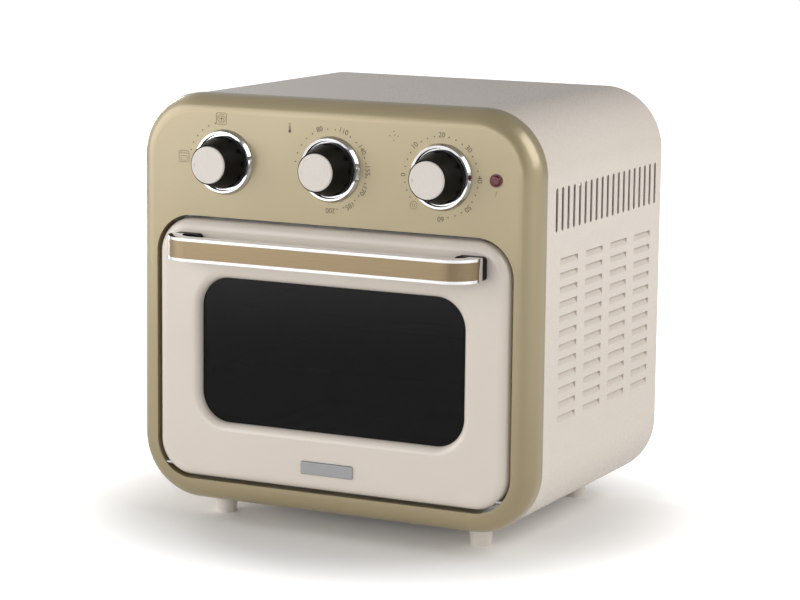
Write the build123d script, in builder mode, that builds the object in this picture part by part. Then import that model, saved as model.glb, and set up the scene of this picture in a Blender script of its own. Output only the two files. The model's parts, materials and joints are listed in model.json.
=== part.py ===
from build123d import *
import math
import os

os.makedirs("parts", exist_ok=True)

# Air fryer oven. X runs to the right seen from the front, the front faces -Y and Z is up.
# Z = 0 is the underside of the feet and Y = 0 is the middle of the overall depth.
# "Depth" is the distance behind the flat front of the front frame.

# Cabinet
BODY_WIDTH = 340
BODY_HEIGHT = 322
BODY_DEPTH = 254
BODY_RADIUS = 50
FOOT_HEIGHT = 16
FOOT_RADIUS = 9.25
FOOT_SPACING_X = 225.4
FOOT_FRONT_DEPTH = 38.6
FOOT_REAR_DEPTH = 223
FOOT_TAPER = 1.0
SHEET = 1.0
PLANE_SLACK = 0.01

# Front frame
FRAME_DEPTH = 22
FRAME_WALL = 3.0
FRAME_EDGE_RADIUS = 14
COLLAR_WALL = 2.0
FLANGE_DEPTH = 20

# Wrap around the cabinet
WRAP_INSET = 0.6
SEAM_GAP = 0.8
JOGGLE_LENGTH = 8
SLOT_COUNT = 19
SLOT_PITCH = 11.07
SLOT_WIDTH = 4.0
SLOT_LENGTH = 33.3
SLOT_FIRST_DEPTH = 41.25
SLOT_LIFT = 246
LOUVRE_COLUMNS = 4
LOUVRE_ROWS = 12
LOUVRE_COLUMN_PITCH = 49.5
LOUVRE_ROW_PITCH = 11
LOUVRE_LENGTH = 34
LOUVRE_HEIGHT = 5
LOUVRE_PRESS = 3.2
LOUVRE_FIRST_DEPTH = 49.5
LOUVRE_LOW = 82.5
BASE_OPENING_WIDTH = 176
BASE_OPENING_DEPTH = 150
BASE_LAP = 8
BASE_OPENING_RADIUS = 6
BASE_SLOT_LENGTH = 34
BASE_SLOT_WIDTH = 4
BASE_SLOT_PITCH_X = 44
BASE_SLOT_PITCH_Y = 14
BASE_SLOT_COLUMNS = 3
BASE_SLOT_ROWS = 6

# Back panel
BACK_FLANGE = 8
BACK_SLOT_LENGTH = 34
BACK_SLOT_WIDTH = 4
BACK_SLOT_PITCH_X = 42
BACK_SLOT_PITCH_Z = 11
BACK_SLOT_COLUMNS = 5
BACK_UPPER_ROWS = 5
BACK_LOWER_ROWS = 3
BACK_UPPER_LIFT = 262
BACK_LOWER_LIFT = 44
BACK_SCREW_X = 132
BACK_SCREW_INSET_Z = 22
GLAND_X = -146
GLAND_LIFT = 66
GLAND_PROUD = 7
GLAND_RADIUS = 9
GLAND_NECK_RADIUS = 7
GLAND_BORE_RADIUS = 3.6
GLAND_INNER_LENGTH = 6

# Door
DOOR_WIDTH = 302
DOOR_HEIGHT = 205
DOOR_RADIUS = 28
DOOR_SILL = 19.65
DOOR_GAP = 2.5
DOOR_PROUD = 3
DOOR_THICKNESS = 16
DOOR_WALL = 3
DOOR_EDGE_RADIUS = 8
DOOR_EDGE_INNER = 5
WINDOW_WIDTH = 228
WINDOW_HEIGHT = 115
WINDOW_RADIUS = 24
WINDOW_LIFT = 122.35
WINDOW_ROLL = 6.3
WINDOW_LIP = 9
GLASS_SETBACK = 7
GLASS_THICKNESS = 4
GLASS_LAP = 7
SEAL_WIDTH = 4
INNER_PANEL_WIDTH = 284
INNER_PANEL_HEIGHT = 182
INNER_PANEL_RADIUS = 18
INNER_PANEL_LIFT = 119
INNER_PANEL_RISE = 6
DOOR_SCREW_X = 145
DOOR_SCREW_Z = 60
DOOR_SCREW_RADIUS = 1.4
DOOR_SCREW_HEAD = 2.6
DOOR_BOSS_RADIUS = 3.4

# Hinge and stays
PIN_RADIUS = 1.5
PIN_CLEARANCE = 0.05
PIN_OUT = 151.5
PIN_IN = 120
LUG_RADIUS = 5
LUG_IN = 116
LUG_OUT = 130
BOSS_IN = 144
BOSS_HALF = 4.5
BOSS_REAR_DEPTH = 7
HINGE_ADVANCE = 2.5
STAY_X = 136
STAY_THICKNESS = 2
STAY_INNER = 48
STAY_OUTER = 56
STAY_HOOK = 59
STAY_TAIL = -22
STAY_HOOK_ANGLE = 2.3
STAY_SLOT_CLEARANCE = 1.0

# Handle
HANDLE_LIFT = 205
HANDLE_HEIGHT = 18
HANDLE_REACH = 32
HANDLE_THICKNESS = 11
HANDLE_END_X = 133
HANDLE_BEND = 24
INLAY_HEIGHT = 13.6
INLAY_THICKNESS = 1.4
INLAY_END_ANGLE = 12
MOUNT_LENGTH = 23
MOUNT_CORNER = 3
HANDLE_SCREW_GRIP = 8
BADGE_WIDTH = 45
BADGE_HEIGHT = 10.5
BADGE_THICKNESS = 1.6
BADGE_CORNER = 1.5
BADGE_BEVEL = 0.6
BADGE_LIFT = 37.9

# Controls
KNOB_SPACING = 93
KNOB_LIFT = 270.5
KNOB_NAMES = ["function", "temperature", "timer"]
KNOB_COUNT = len(KNOB_NAMES)
BEZEL_RADIUS = 25.3
BEZEL_TOP_RADIUS = 23.8
BEZEL_PROUD = 4
BEZEL_FOOT = 1.3
DISH_LIP = 0.6
DISH_RADIUS = 21.6
DISH_FLOOR = 1.4
KNOB_RADIUS = 20.4
KNOB_TOP_RADIUS = 15.5
KNOB_BASE = 2
KNOB_SKIRT = 3
KNOB_FRONT = 24
FLUTE_COUNT = 12
FLUTE_RADIUS = 3.2
CAP_RADIUS = 14.3
CAP_SEAT = 1.6
CAP_FRONT = 26
CAP_EDGE = 1.0
POINTER_RADIUS = 1.3
POINTER_DEPTH = 0.4
POINTER_X = 10.6
SPINDLE_RADIUS = 3
SPINDLE_CLEARANCE = 0.05
SPINDLE_FRONT = 20
NECK_RADIUS = 4.6
NECK_CLEARANCE = 0.4
NECK_FRONT_DEPTH = 1.0
BRACKET_DEPTH = 10
BRACKET_THICKNESS = 1.5
BRACKET_WIDTH = 250
BRACKET_HEIGHT = 50
POST_X = 46.5
POST_Z = 19
POST_RADIUS = 4.5
POST_SCREW_RADIUS = 1.5
SELECTOR_SIZE = 32
SELECTOR_DEPTH = 24
THERMOSTAT_WIDTH = 40
THERMOSTAT_HEIGHT = 30
THERMOSTAT_DEPTH = 20
TIMER_RADIUS = 26
TIMER_DEPTH = 30
BELL_RADIUS = 21
BELL_DEPTH = 9
CONTROL_CORNER = 3
TIMER_FLAT = 0.5
CAPILLARY_SHARE = 0.75
LAMP_X = 138
LAMP_LIFT = 270.6
LAMP_RADIUS = 4
LAMP_RIM_RADIUS = 5
LAMP_PROUD = 2.2
LAMP_RIM = 0.9
LAMP_BODY_RADIUS = 4.8
LAMP_BODY_LENGTH = 18

# Cooking chamber
CHAMBER_WIDTH = 250
CHAMBER_HEIGHT = 170
CHAMBER_LIFT = 30
CHAMBER_BACK_DEPTH = 242
CHAMBER_MOUTH_RADIUS = 6
FLANGE_RISE = 5
GASKET_WIDTH = 5
GASKET_OFFSET = 2
GASKET_GAP = 0.3
RAIL_WIDTH = 7
RAIL_HEIGHT = 3
RAIL_FRONT_DEPTH = 30
RAIL_END_GAP = 6

# Baskets and crumb tray
BASKET_NAMES = ["lower", "upper"]
BASKET_RIM_LIFTS = [104, 149]
BASKET_WIDTH = 234
BASKET_LENGTH = 176
BASKET_FRONT_DEPTH = 59
BASKET_RADIUS = 15
BASKET_HEIGHT = 12.5
BASKET_WALL = 1.2
BASKET_RIM = 3.4
RIM_ROUNDING = 0.45
RAIL_GAP = 0.3
MESH_PITCH = 14
MESH_HOLE = 8
MESH_COLUMNS = 15
MESH_ROWS = 11
WALL_MESH_HOLE = 5
WALL_MESH_PITCH = 9
WALL_MESH_COLUMNS = 22
WALL_MESH_ROWS = 15
TRAY_WIDTH = 240
TRAY_LENGTH = 196
TRAY_FRONT_DEPTH = 34
TRAY_HEIGHT = 10
TRAY_RADIUS = 10
TRAY_GAP = 0.3

# Fan, heater and motor
FAN_DEPTH = 138
DOME_RADIUS = 76
DOME_HEIGHT = 22
DOME_FLANGE = 8
CEILING_HOLE_RADIUS = 72
SHAFT_RADIUS = 2.5
SHAFT_CLEARANCE = 0.05
SHAFT_HOLE_RADIUS = 5
FAN_RADIUS = 56
FAN_HUB_RADIUS = 8
FAN_HEIGHT = 13
FAN_CLEARANCE = 4
FAN_PLATE = 1.2
FAN_BLADES = 10
BLADE_LENGTH = 22
BLADE_THICKNESS = 1.5
NUT_RADIUS = 5.5
NUT_HEIGHT = 5
NUT_SIDES = 6
COOLER_RADIUS = 42
COOLER_HEIGHT = 9
COOLER_LIFT = 5
COOLER_BLADE_LENGTH = 18
COOLER_BLADES = 8
BRACKET_GAP = 4
STRAP_WIDTH = 50
STRAP_THICKNESS = 1.5
STRAP_LEG_X = 90
STRAP_FOOT = 14
CORE_WIDTH = 62
CORE_LENGTH = 48
CORE_HEIGHT = 20
COIL_WIDTH = 30
COIL_LENGTH = 62
COIL_HEIGHT = 26
COIL_CORNER = 5
BEARING_RADIUS = 9
BEARING_HEIGHT = 8
HEATER_RADIUS = 65
HEATER_TUBE = 3.25
HEATER_DROP = 12
HEATER_BEND = 9
HEATER_GAP_ANGLE = 12
HEATER_RISE = 12
GUARD_RADIUS = 80
GUARD_DROP = 24
GUARD_BAR = 2
GUARD_RING_PITCH = 12
GUARD_RINGS = 6
GUARD_SPOKES = 6
GUARD_LEG_RADIUS = 2
GUARD_LEG_RING = GUARD_RADIUS - 1.5 * GUARD_BAR
BULB_X = 117
BULB_FRONT_DEPTH = 52
BULB_LENGTH = 62
BULB_RADIUS = 2.8
BULB_DROP = 9
CAPILLARY_RADIUS = 0.9
CAPILLARY_BEND = 7
CAPILLARY_DEPTH = 38
CAPILLARY_RISE = 18
CAPILLARY_HOLE_RADIUS = 2.4
TERMINAL_WIDTH = 18
TERMINAL_DEPTH = 14
TERMINAL_HEIGHT = 40
TERMINAL_LIFT = 110
TERMINAL_SCREWS = 3
TERMINAL_WELL = 3

# Screws
SCREW_RADIUS = 2
SCREW_HEAD_RADIUS = 4
SCREW_HEAD_HEIGHT = 2
SCREW_LENGTH = 7
FOOT_COUNTERBORE_RADIUS = 5
FOOT_COUNTERBORE_DEPTH = 7

# Places worked out from the sizes above
DOOR_FACE = -DOOR_PROUD
HANDLE_FACE = DOOR_FACE - HANDLE_REACH
FRONT_Y = -(HANDLE_FACE + BODY_DEPTH + GLAND_PROUD) / 2
BODY_MID_Z = FOOT_HEIGHT + BODY_HEIGHT / 2
DOOR_MID_Z = FOOT_HEIGHT + DOOR_SILL + DOOR_HEIGHT / 2
DOOR_REAR = DOOR_FACE + DOOR_THICKNESS
HINGE_DEPTH = DOOR_FACE + DOOR_EDGE_RADIUS - HINGE_ADVANCE
HINGE_Z = FOOT_HEIGHT + DOOR_SILL + DOOR_EDGE_RADIUS
WINDOW_Z = FOOT_HEIGHT + WINDOW_LIFT
GLASS_FRONT = DOOR_FACE + GLASS_SETBACK
GLASS_REAR = GLASS_FRONT + GLASS_THICKNESS
HANDLE_Z = FOOT_HEIGHT + HANDLE_LIFT
HANDLE_SCREW_X = HANDLE_END_X - HANDLE_THICKNESS / 2
MOUNT_DEPTH = HANDLE_REACH - HANDLE_BEND
MOUNT_FRONT = DOOR_FACE - MOUNT_DEPTH
INNER_PANEL_Z = FOOT_HEIGHT + INNER_PANEL_LIFT
INNER_PANEL_REAR = DOOR_REAR + INNER_PANEL_RISE - SHEET
KNOB_Z = FOOT_HEIGHT + KNOB_LIFT
KNOB_XS = [-KNOB_SPACING, 0, KNOB_SPACING]
WRAP_FRONT = FRAME_DEPTH + SEAM_GAP
WRAP_INNER = WRAP_INSET + SHEET
JOGGLE_OUTER = FRAME_WALL
JOGGLE_INNER = FRAME_WALL + SHEET
CHAMBER_FLOOR_Z = FOOT_HEIGHT + CHAMBER_LIFT
CHAMBER_TOP_Z = CHAMBER_FLOOR_Z + CHAMBER_HEIGHT
CHAMBER_MID_Z = CHAMBER_FLOOR_Z + CHAMBER_HEIGHT / 2
CHAMBER_FRONT = FLANGE_DEPTH + SHEET
CHAMBER_LENGTH = CHAMBER_BACK_DEPTH - CHAMBER_FRONT
DECK_Z = CHAMBER_TOP_Z + SHEET
DOME_TOP_Z = DECK_Z + DOME_HEIGHT
FAN_Y = FRONT_Y + FAN_DEPTH
FAN_TOP_Z = DOME_TOP_Z - SHEET - FAN_CLEARANCE
COOLER_Z = DOME_TOP_Z + COOLER_LIFT
STRAP_Z = COOLER_Z + COOLER_HEIGHT + BRACKET_GAP
CORE_Z = STRAP_Z + STRAP_THICKNESS + BEARING_HEIGHT
MOTOR_TOP_Z = CORE_Z + COIL_HEIGHT + BEARING_HEIGHT
CONTROL_DEPTH = BRACKET_DEPTH + BRACKET_THICKNESS
SPINDLE_END = CONTROL_DEPTH + THERMOSTAT_DEPTH / 2


def facing(depth):
    """A plane that faces the front, at a depth behind the front of the frame."""
    return Plane.XZ.offset(-(FRONT_Y + depth))


def level(height):
    """A level plane at a height above the table."""
    return Plane.XY.offset(height)


def cabinet_outline(inset):
    with Locations((0, BODY_MID_Z)):
        RectangleRounded(BODY_WIDTH - 2 * inset, BODY_HEIGHT - 2 * inset, BODY_RADIUS - inset)


def door_outline(grow):
    with Locations((0, DOOR_MID_Z)):
        RectangleRounded(DOOR_WIDTH + 2 * grow, DOOR_HEIGHT + 2 * grow, DOOR_RADIUS + grow)


def window_outline(grow):
    with Locations((0, WINDOW_Z)):
        RectangleRounded(WINDOW_WIDTH + 2 * grow, WINDOW_HEIGHT + 2 * grow, WINDOW_RADIUS + grow)


def edges_at_depth(part, depth):
    """The edges of a part that lie flat at one depth."""
    y = FRONT_Y + depth
    return part.edges().filter_by_position(Axis.Y, y - PLANE_SLACK, y + PLANE_SLACK)


def save(piece, name):
    piece.part.label = name
    export_step(piece.part, f"parts/{name}.step")


# Front frame: a moulded shell with the door's recess, the hinge bosses and the control posts
with BuildPart() as front_frame:
    with BuildSketch(facing(FRAME_DEPTH)):
        cabinet_outline(0)
    extrude(amount=FRAME_DEPTH)
    with BuildSketch(facing(FRAME_DEPTH)):
        cabinet_outline(FRAME_WALL)
    extrude(amount=FRAME_DEPTH - FRAME_WALL, mode=Mode.SUBTRACT)
    fillet(edges_at_depth(front_frame, FRAME_WALL), FRAME_EDGE_RADIUS - FRAME_WALL)
    fillet(edges_at_depth(front_frame, 0), FRAME_EDGE_RADIUS)
    with BuildSketch(facing(FLANGE_DEPTH)):
        door_outline(DOOR_GAP + COLLAR_WALL)
    extrude(amount=FLANGE_DEPTH - FRAME_WALL / 2)
    for side in (-1, 1):
        boss_length = BOSS_REAR_DEPTH - FRAME_WALL / 2
        with BuildSketch(Plane.YZ.offset(side * BOSS_IN)):
            with Locations((FRONT_Y + BOSS_REAR_DEPTH - boss_length / 2, HINGE_Z)):
                Rectangle(boss_length, 2 * BOSS_HALF)
        extrude(amount=side * (PIN_OUT - BOSS_IN))
    with BuildSketch(facing(FLANGE_DEPTH)):
        door_outline(DOOR_GAP)
    extrude(amount=FLANGE_DEPTH, mode=Mode.SUBTRACT)
    with BuildSketch(Plane.YZ.offset(-PIN_OUT)):
        with Locations((FRONT_Y + HINGE_DEPTH, HINGE_Z)):
            Circle(PIN_RADIUS)
    extrude(amount=2 * PIN_OUT, mode=Mode.SUBTRACT)
    with BuildSketch(facing(BRACKET_DEPTH)):
        with Locations((0, KNOB_Z)):
            with GridLocations(2 * POST_X, 2 * POST_Z, 2, 2):
                Circle(POST_RADIUS)
    extrude(amount=BRACKET_DEPTH - FRAME_WALL / 2)
    with BuildSketch(facing(BRACKET_DEPTH)):
        with Locations((0, KNOB_Z)):
            with GridLocations(2 * POST_X, 2 * POST_Z, 2, 2):
                Circle(POST_SCREW_RADIUS)
    extrude(amount=BRACKET_DEPTH - FRAME_WALL, mode=Mode.SUBTRACT)
    with BuildSketch(facing(FRAME_WALL)):
        with Locations((0, KNOB_Z)):
            with GridLocations(KNOB_SPACING, 0, KNOB_COUNT, 1):
                Circle(NECK_RADIUS + NECK_CLEARANCE)
        with Locations((LAMP_X, FOOT_HEIGHT + LAMP_LIFT)):
            Circle(LAMP_RADIUS)
    extrude(amount=FRAME_WALL, mode=Mode.SUBTRACT)
save(front_frame, "front_frame")

def louvre_flap(side):
    """The section of a louvre's pressed flap, from the skin at its foot to its free upper edge."""
    foot = -LOUVRE_HEIGHT / 2
    return [
        (0, foot),
        (-side * LOUVRE_PRESS, -foot),
        (-side * (LOUVRE_PRESS + SHEET), -foot),
        (-side * SHEET, foot - SHEET),
        (0, foot - SHEET),
    ]


def louvre_cheek(side):
    """The triangle that closes one end of a louvre behind the skin."""
    foot = -LOUVRE_HEIGHT / 2
    return [
        (-side * SHEET, foot - SHEET),
        (-side * SHEET, -foot),
        (-side * (LOUVRE_PRESS + SHEET), -foot),
    ]


# Wrap: one bent sheet with a joggled front edge that tucks into the frame
with BuildPart() as outer_wrap:
    with BuildSketch(facing(BODY_DEPTH)):
        cabinet_outline(WRAP_INSET)
    extrude(amount=BODY_DEPTH - WRAP_FRONT)
    with BuildSketch(facing(WRAP_FRONT)):
        cabinet_outline(JOGGLE_OUTER)
    extrude(amount=JOGGLE_LENGTH)
    with BuildSketch(facing(BODY_DEPTH)):
        cabinet_outline(WRAP_INNER)
    extrude(amount=BODY_DEPTH - WRAP_FRONT - SHEET, mode=Mode.SUBTRACT)
    with BuildSketch(facing(BODY_DEPTH)):
        cabinet_outline(JOGGLE_INNER)
    extrude(amount=BODY_DEPTH, mode=Mode.SUBTRACT)
    slots_mid = FRONT_Y + SLOT_FIRST_DEPTH + SLOT_PITCH * (SLOT_COUNT - 1) / 2
    with BuildSketch(Plane.YZ.offset(-BODY_WIDTH / 2)):
        with Locations((slots_mid, FOOT_HEIGHT + SLOT_LIFT)):
            with GridLocations(SLOT_PITCH, 0, SLOT_COUNT, 1):
                SlotOverall(SLOT_LENGTH, SLOT_WIDTH, rotation=90)
    extrude(amount=BODY_WIDTH, mode=Mode.SUBTRACT)
    louvre_mid_y = FRONT_Y + LOUVRE_FIRST_DEPTH + (LOUVRE_COLUMN_PITCH * (LOUVRE_COLUMNS - 1) + LOUVRE_LENGTH) / 2
    louvre_mid_z = FOOT_HEIGHT + LOUVRE_LOW + LOUVRE_ROW_PITCH * (LOUVRE_ROWS - 1) / 2 + LOUVRE_HEIGHT / 2
    with BuildSketch(Plane.YZ.offset(-BODY_WIDTH / 2)):
        with Locations((louvre_mid_y, louvre_mid_z)):
            with GridLocations(LOUVRE_COLUMN_PITCH, LOUVRE_ROW_PITCH, LOUVRE_COLUMNS, LOUVRE_ROWS):
                Rectangle(LOUVRE_LENGTH, LOUVRE_HEIGHT)
    extrude(amount=BODY_WIDTH, mode=Mode.SUBTRACT)
    skin_x = BODY_WIDTH / 2 - WRAP_INSET
    for column in range(LOUVRE_COLUMNS):
        column_rear = LOUVRE_FIRST_DEPTH + column * LOUVRE_COLUMN_PITCH + LOUVRE_LENGTH
        with BuildSketch(facing(column_rear)):
            for side in (-1, 1):
                with Locations((side * skin_x, louvre_mid_z)):
                    with GridLocations(0, LOUVRE_ROW_PITCH, 1, LOUVRE_ROWS):
                        Polygon(*louvre_flap(side), align=None)
        extrude(amount=LOUVRE_LENGTH, clean=False)
        for cheek_rear in (column_rear + SHEET, column_rear - LOUVRE_LENGTH):
            with BuildSketch(facing(cheek_rear)):
                for side in (-1, 1):
                    with Locations((side * skin_x, louvre_mid_z)):
                        with GridLocations(0, LOUVRE_ROW_PITCH, 1, LOUVRE_ROWS):
                            Polygon(*louvre_cheek(side), align=None)
            extrude(amount=SHEET, clean=False)
    base_mid = FRONT_Y + (WRAP_FRONT + BODY_DEPTH) / 2
    with BuildSketch(level(0)):
        with Locations((0, base_mid)):
            RectangleRounded(BASE_OPENING_WIDTH, BASE_OPENING_DEPTH, BASE_OPENING_RADIUS)
        with Locations((0, FRONT_Y + (FOOT_FRONT_DEPTH + FOOT_REAR_DEPTH) / 2)):
            with GridLocations(FOOT_SPACING_X, FOOT_REAR_DEPTH - FOOT_FRONT_DEPTH, 2, 2):
                Circle(SCREW_RADIUS)
    extrude(amount=FOOT_HEIGHT + WRAP_INNER, mode=Mode.SUBTRACT)
save(outer_wrap, "outer_wrap")

# Base plate: lies on the wrap's bottom and closes its opening, with cooling slots
base_plate_z = FOOT_HEIGHT + WRAP_INNER
with BuildPart() as base_plate:
    with BuildSketch(level(base_plate_z)):
        with Locations((0, base_mid)):
            RectangleRounded(
                BASE_OPENING_WIDTH + 2 * BASE_LAP,
                BASE_OPENING_DEPTH + 2 * BASE_LAP,
                BASE_OPENING_RADIUS + BASE_LAP / 4,
            )
            with GridLocations(BASE_SLOT_PITCH_X, BASE_SLOT_PITCH_Y, BASE_SLOT_COLUMNS, BASE_SLOT_ROWS):
                SlotOverall(BASE_SLOT_LENGTH, BASE_SLOT_WIDTH, mode=Mode.SUBTRACT)
    extrude(amount=SHEET)
save(base_plate, "base_plate")

# Feet
foot_places = {}
for depth_name, foot_depth in (("front", FOOT_FRONT_DEPTH), ("rear", FOOT_REAR_DEPTH)):
    for side_name, side in (("left", -1), ("right", 1)):
        foot_places[f"foot_{depth_name}_{side_name}"] = (side * FOOT_SPACING_X / 2, FRONT_Y + foot_depth)
for foot_name, (foot_x, foot_y) in foot_places.items():
    with BuildPart() as foot:
        with BuildSketch(level(0)):
            with Locations((foot_x, foot_y)):
                Circle(FOOT_RADIUS - FOOT_TAPER)
        with BuildSketch(level(FOOT_HEIGHT + WRAP_INSET)):
            with Locations((foot_x, foot_y)):
                Circle(FOOT_RADIUS)
        loft()
        with Locations((foot_x, foot_y, 0)):
            with Locations(Rotation(180, 0, 0)):
                CounterBoreHole(SCREW_RADIUS, FOOT_COUNTERBORE_RADIUS, FOOT_COUNTERBORE_DEPTH)
    save(foot, foot_name)

# Back panel: a flanged sheet inside the wrap's rear end, with vents
back_screw_z = BODY_HEIGHT / 2 - BACK_SCREW_INSET_Z
with BuildPart() as back_panel:
    with BuildSketch(facing(BODY_DEPTH)):
        cabinet_outline(WRAP_INNER)
    extrude(amount=BACK_FLANGE)
    with BuildSketch(facing(BODY_DEPTH - SHEET)):
        cabinet_outline(WRAP_INNER + SHEET)
    extrude(amount=BACK_FLANGE, mode=Mode.SUBTRACT)
    with BuildSketch(facing(BODY_DEPTH)):
        with Locations((0, FOOT_HEIGHT + BACK_UPPER_LIFT)):
            with GridLocations(BACK_SLOT_PITCH_X, BACK_SLOT_PITCH_Z, BACK_SLOT_COLUMNS, BACK_UPPER_ROWS):
                SlotOverall(BACK_SLOT_LENGTH, BACK_SLOT_WIDTH)
        with Locations((0, FOOT_HEIGHT + BACK_LOWER_LIFT)):
            with GridLocations(BACK_SLOT_PITCH_X, BACK_SLOT_PITCH_Z, BACK_SLOT_COLUMNS, BACK_LOWER_ROWS):
                SlotOverall(BACK_SLOT_LENGTH, BACK_SLOT_WIDTH)
        with Locations((GLAND_X, FOOT_HEIGHT + GLAND_LIFT)):
            Circle(GLAND_NECK_RADIUS)
        with Locations((0, BODY_MID_Z)):
            with GridLocations(2 * BACK_SCREW_X, 2 * back_screw_z, 2, 2):
                Circle(SCREW_RADIUS)
    extrude(amount=SHEET, mode=Mode.SUBTRACT)
save(back_panel, "back_panel")

# Cord gland: a grooved grommet in the back panel, with a bore for the mains lead
with BuildPart() as cord_gland:
    with BuildSketch(facing(BODY_DEPTH + GLAND_PROUD)):
        with Locations((GLAND_X, FOOT_HEIGHT + GLAND_LIFT)):
            Circle(GLAND_RADIUS)
    extrude(amount=GLAND_PROUD)
    chamfer(edges_at_depth(cord_gland, BODY_DEPTH + GLAND_PROUD), 2)
    with BuildSketch(facing(BODY_DEPTH)):
        with Locations((GLAND_X, FOOT_HEIGHT + GLAND_LIFT)):
            Circle(GLAND_NECK_RADIUS)
    extrude(amount=SHEET)
    with BuildSketch(facing(BODY_DEPTH - SHEET)):
        with Locations((GLAND_X, FOOT_HEIGHT + GLAND_LIFT)):
            Circle(GLAND_RADIUS)
    extrude(amount=GLAND_INNER_LENGTH)
    with BuildSketch(facing(BODY_DEPTH + GLAND_PROUD)):
        with Locations((GLAND_X, FOOT_HEIGHT + GLAND_LIFT)):
            Circle(GLAND_BORE_RADIUS)
    extrude(amount=GLAND_PROUD + SHEET + GLAND_INNER_LENGTH, mode=Mode.SUBTRACT)
save(cord_gland, "cord_gland")

# Terminal block on the inside of the back panel
terminal_front = BODY_DEPTH - SHEET - TERMINAL_DEPTH
with BuildPart() as terminal_block:
    with BuildSketch(facing(BODY_DEPTH - SHEET)):
        with Locations((GLAND_X, FOOT_HEIGHT + TERMINAL_LIFT)):
            Rectangle(TERMINAL_WIDTH, TERMINAL_HEIGHT)
    extrude(amount=TERMINAL_DEPTH)
    with BuildSketch(facing(terminal_front + TERMINAL_WELL)):
        with Locations((GLAND_X, FOOT_HEIGHT + TERMINAL_LIFT)):
            with GridLocations(0, TERMINAL_HEIGHT / TERMINAL_SCREWS, 1, TERMINAL_SCREWS):
                Circle(TERMINAL_HEIGHT / TERMINAL_SCREWS / 4)
    extrude(amount=TERMINAL_WELL, mode=Mode.SUBTRACT)
save(terminal_block, "terminal_block")

# Chamber flange: closes the door's recess around the chamber mouth, with slots for the stays
slot_low = math.sqrt(STAY_INNER**2 - (CHAMBER_FRONT - HINGE_DEPTH) ** 2) - STAY_SLOT_CLEARANCE
slot_high = math.sqrt(STAY_OUTER**2 - (FLANGE_DEPTH - HINGE_DEPTH) ** 2) + STAY_SLOT_CLEARANCE
flange_top = DOOR_MID_Z + DOOR_HEIGHT / 2 + DOOR_GAP + COLLAR_WALL + FLANGE_RISE
with BuildPart() as chamber_flange:
    with BuildSketch(facing(CHAMBER_FRONT)):
        cabinet_outline(JOGGLE_INNER)
        with Locations((0, flange_top)):
            Rectangle(BODY_WIDTH, BODY_HEIGHT, align=(Align.CENTER, Align.MIN), mode=Mode.SUBTRACT)
        with Locations((0, CHAMBER_MID_Z)):
            RectangleRounded(CHAMBER_WIDTH, CHAMBER_HEIGHT, CHAMBER_MOUTH_RADIUS, mode=Mode.SUBTRACT)
        with Locations((0, HINGE_Z + (slot_low + slot_high) / 2)):
            with GridLocations(2 * STAY_X, 0, 2, 1):
                Rectangle(STAY_THICKNESS + 2 * STAY_SLOT_CLEARANCE, slot_high - slot_low, mode=Mode.SUBTRACT)
    extrude(amount=SHEET)
save(chamber_flange, "chamber_flange")

# Gasket: a soft ring round the chamber mouth, just short of the door's inner panel
with BuildPart() as chamber_gasket:
    with BuildSketch(facing(FLANGE_DEPTH)):
        with Locations((0, CHAMBER_MID_Z)):
            outer_grow = 2 * (GASKET_OFFSET + GASKET_WIDTH)
            RectangleRounded(
                CHAMBER_WIDTH + outer_grow,
                CHAMBER_HEIGHT + outer_grow,
                CHAMBER_MOUTH_RADIUS + outer_grow / 2,
            )
            RectangleRounded(
                CHAMBER_WIDTH + 2 * GASKET_OFFSET,
                CHAMBER_HEIGHT + 2 * GASKET_OFFSET,
                CHAMBER_MOUTH_RADIUS + GASKET_OFFSET,
                mode=Mode.SUBTRACT,
            )
    extrude(amount=FLANGE_DEPTH - INNER_PANEL_REAR - GASKET_GAP)
save(chamber_gasket, "chamber_gasket")

# Chamber side walls with a runner under each basket's rim
rail_length = CHAMBER_LENGTH - (RAIL_FRONT_DEPTH - CHAMBER_FRONT) - RAIL_END_GAP
for side_name, side in (("left", -1), ("right", 1)):
    with BuildPart() as chamber_wall:
        with BuildSketch(Plane.YZ.offset(side * CHAMBER_WIDTH / 2)):
            with Locations((FRONT_Y + CHAMBER_FRONT, CHAMBER_FLOOR_Z)):
                Rectangle(CHAMBER_LENGTH, CHAMBER_HEIGHT, align=(Align.MIN, Align.MIN))
        extrude(amount=side * SHEET)
        for rim_lift in BASKET_RIM_LIFTS:
            rail_top = FOOT_HEIGHT + rim_lift - BASKET_RIM - RAIL_GAP
            with BuildSketch(Plane.YZ.offset(side * CHAMBER_WIDTH / 2)):
                with Locations((FRONT_Y + RAIL_FRONT_DEPTH, rail_top)):
                    Rectangle(rail_length, RAIL_HEIGHT, align=(Align.MIN, Align.MAX))
            extrude(amount=-side * RAIL_WIDTH)
    save(chamber_wall, f"chamber_wall_{side_name}")

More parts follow.
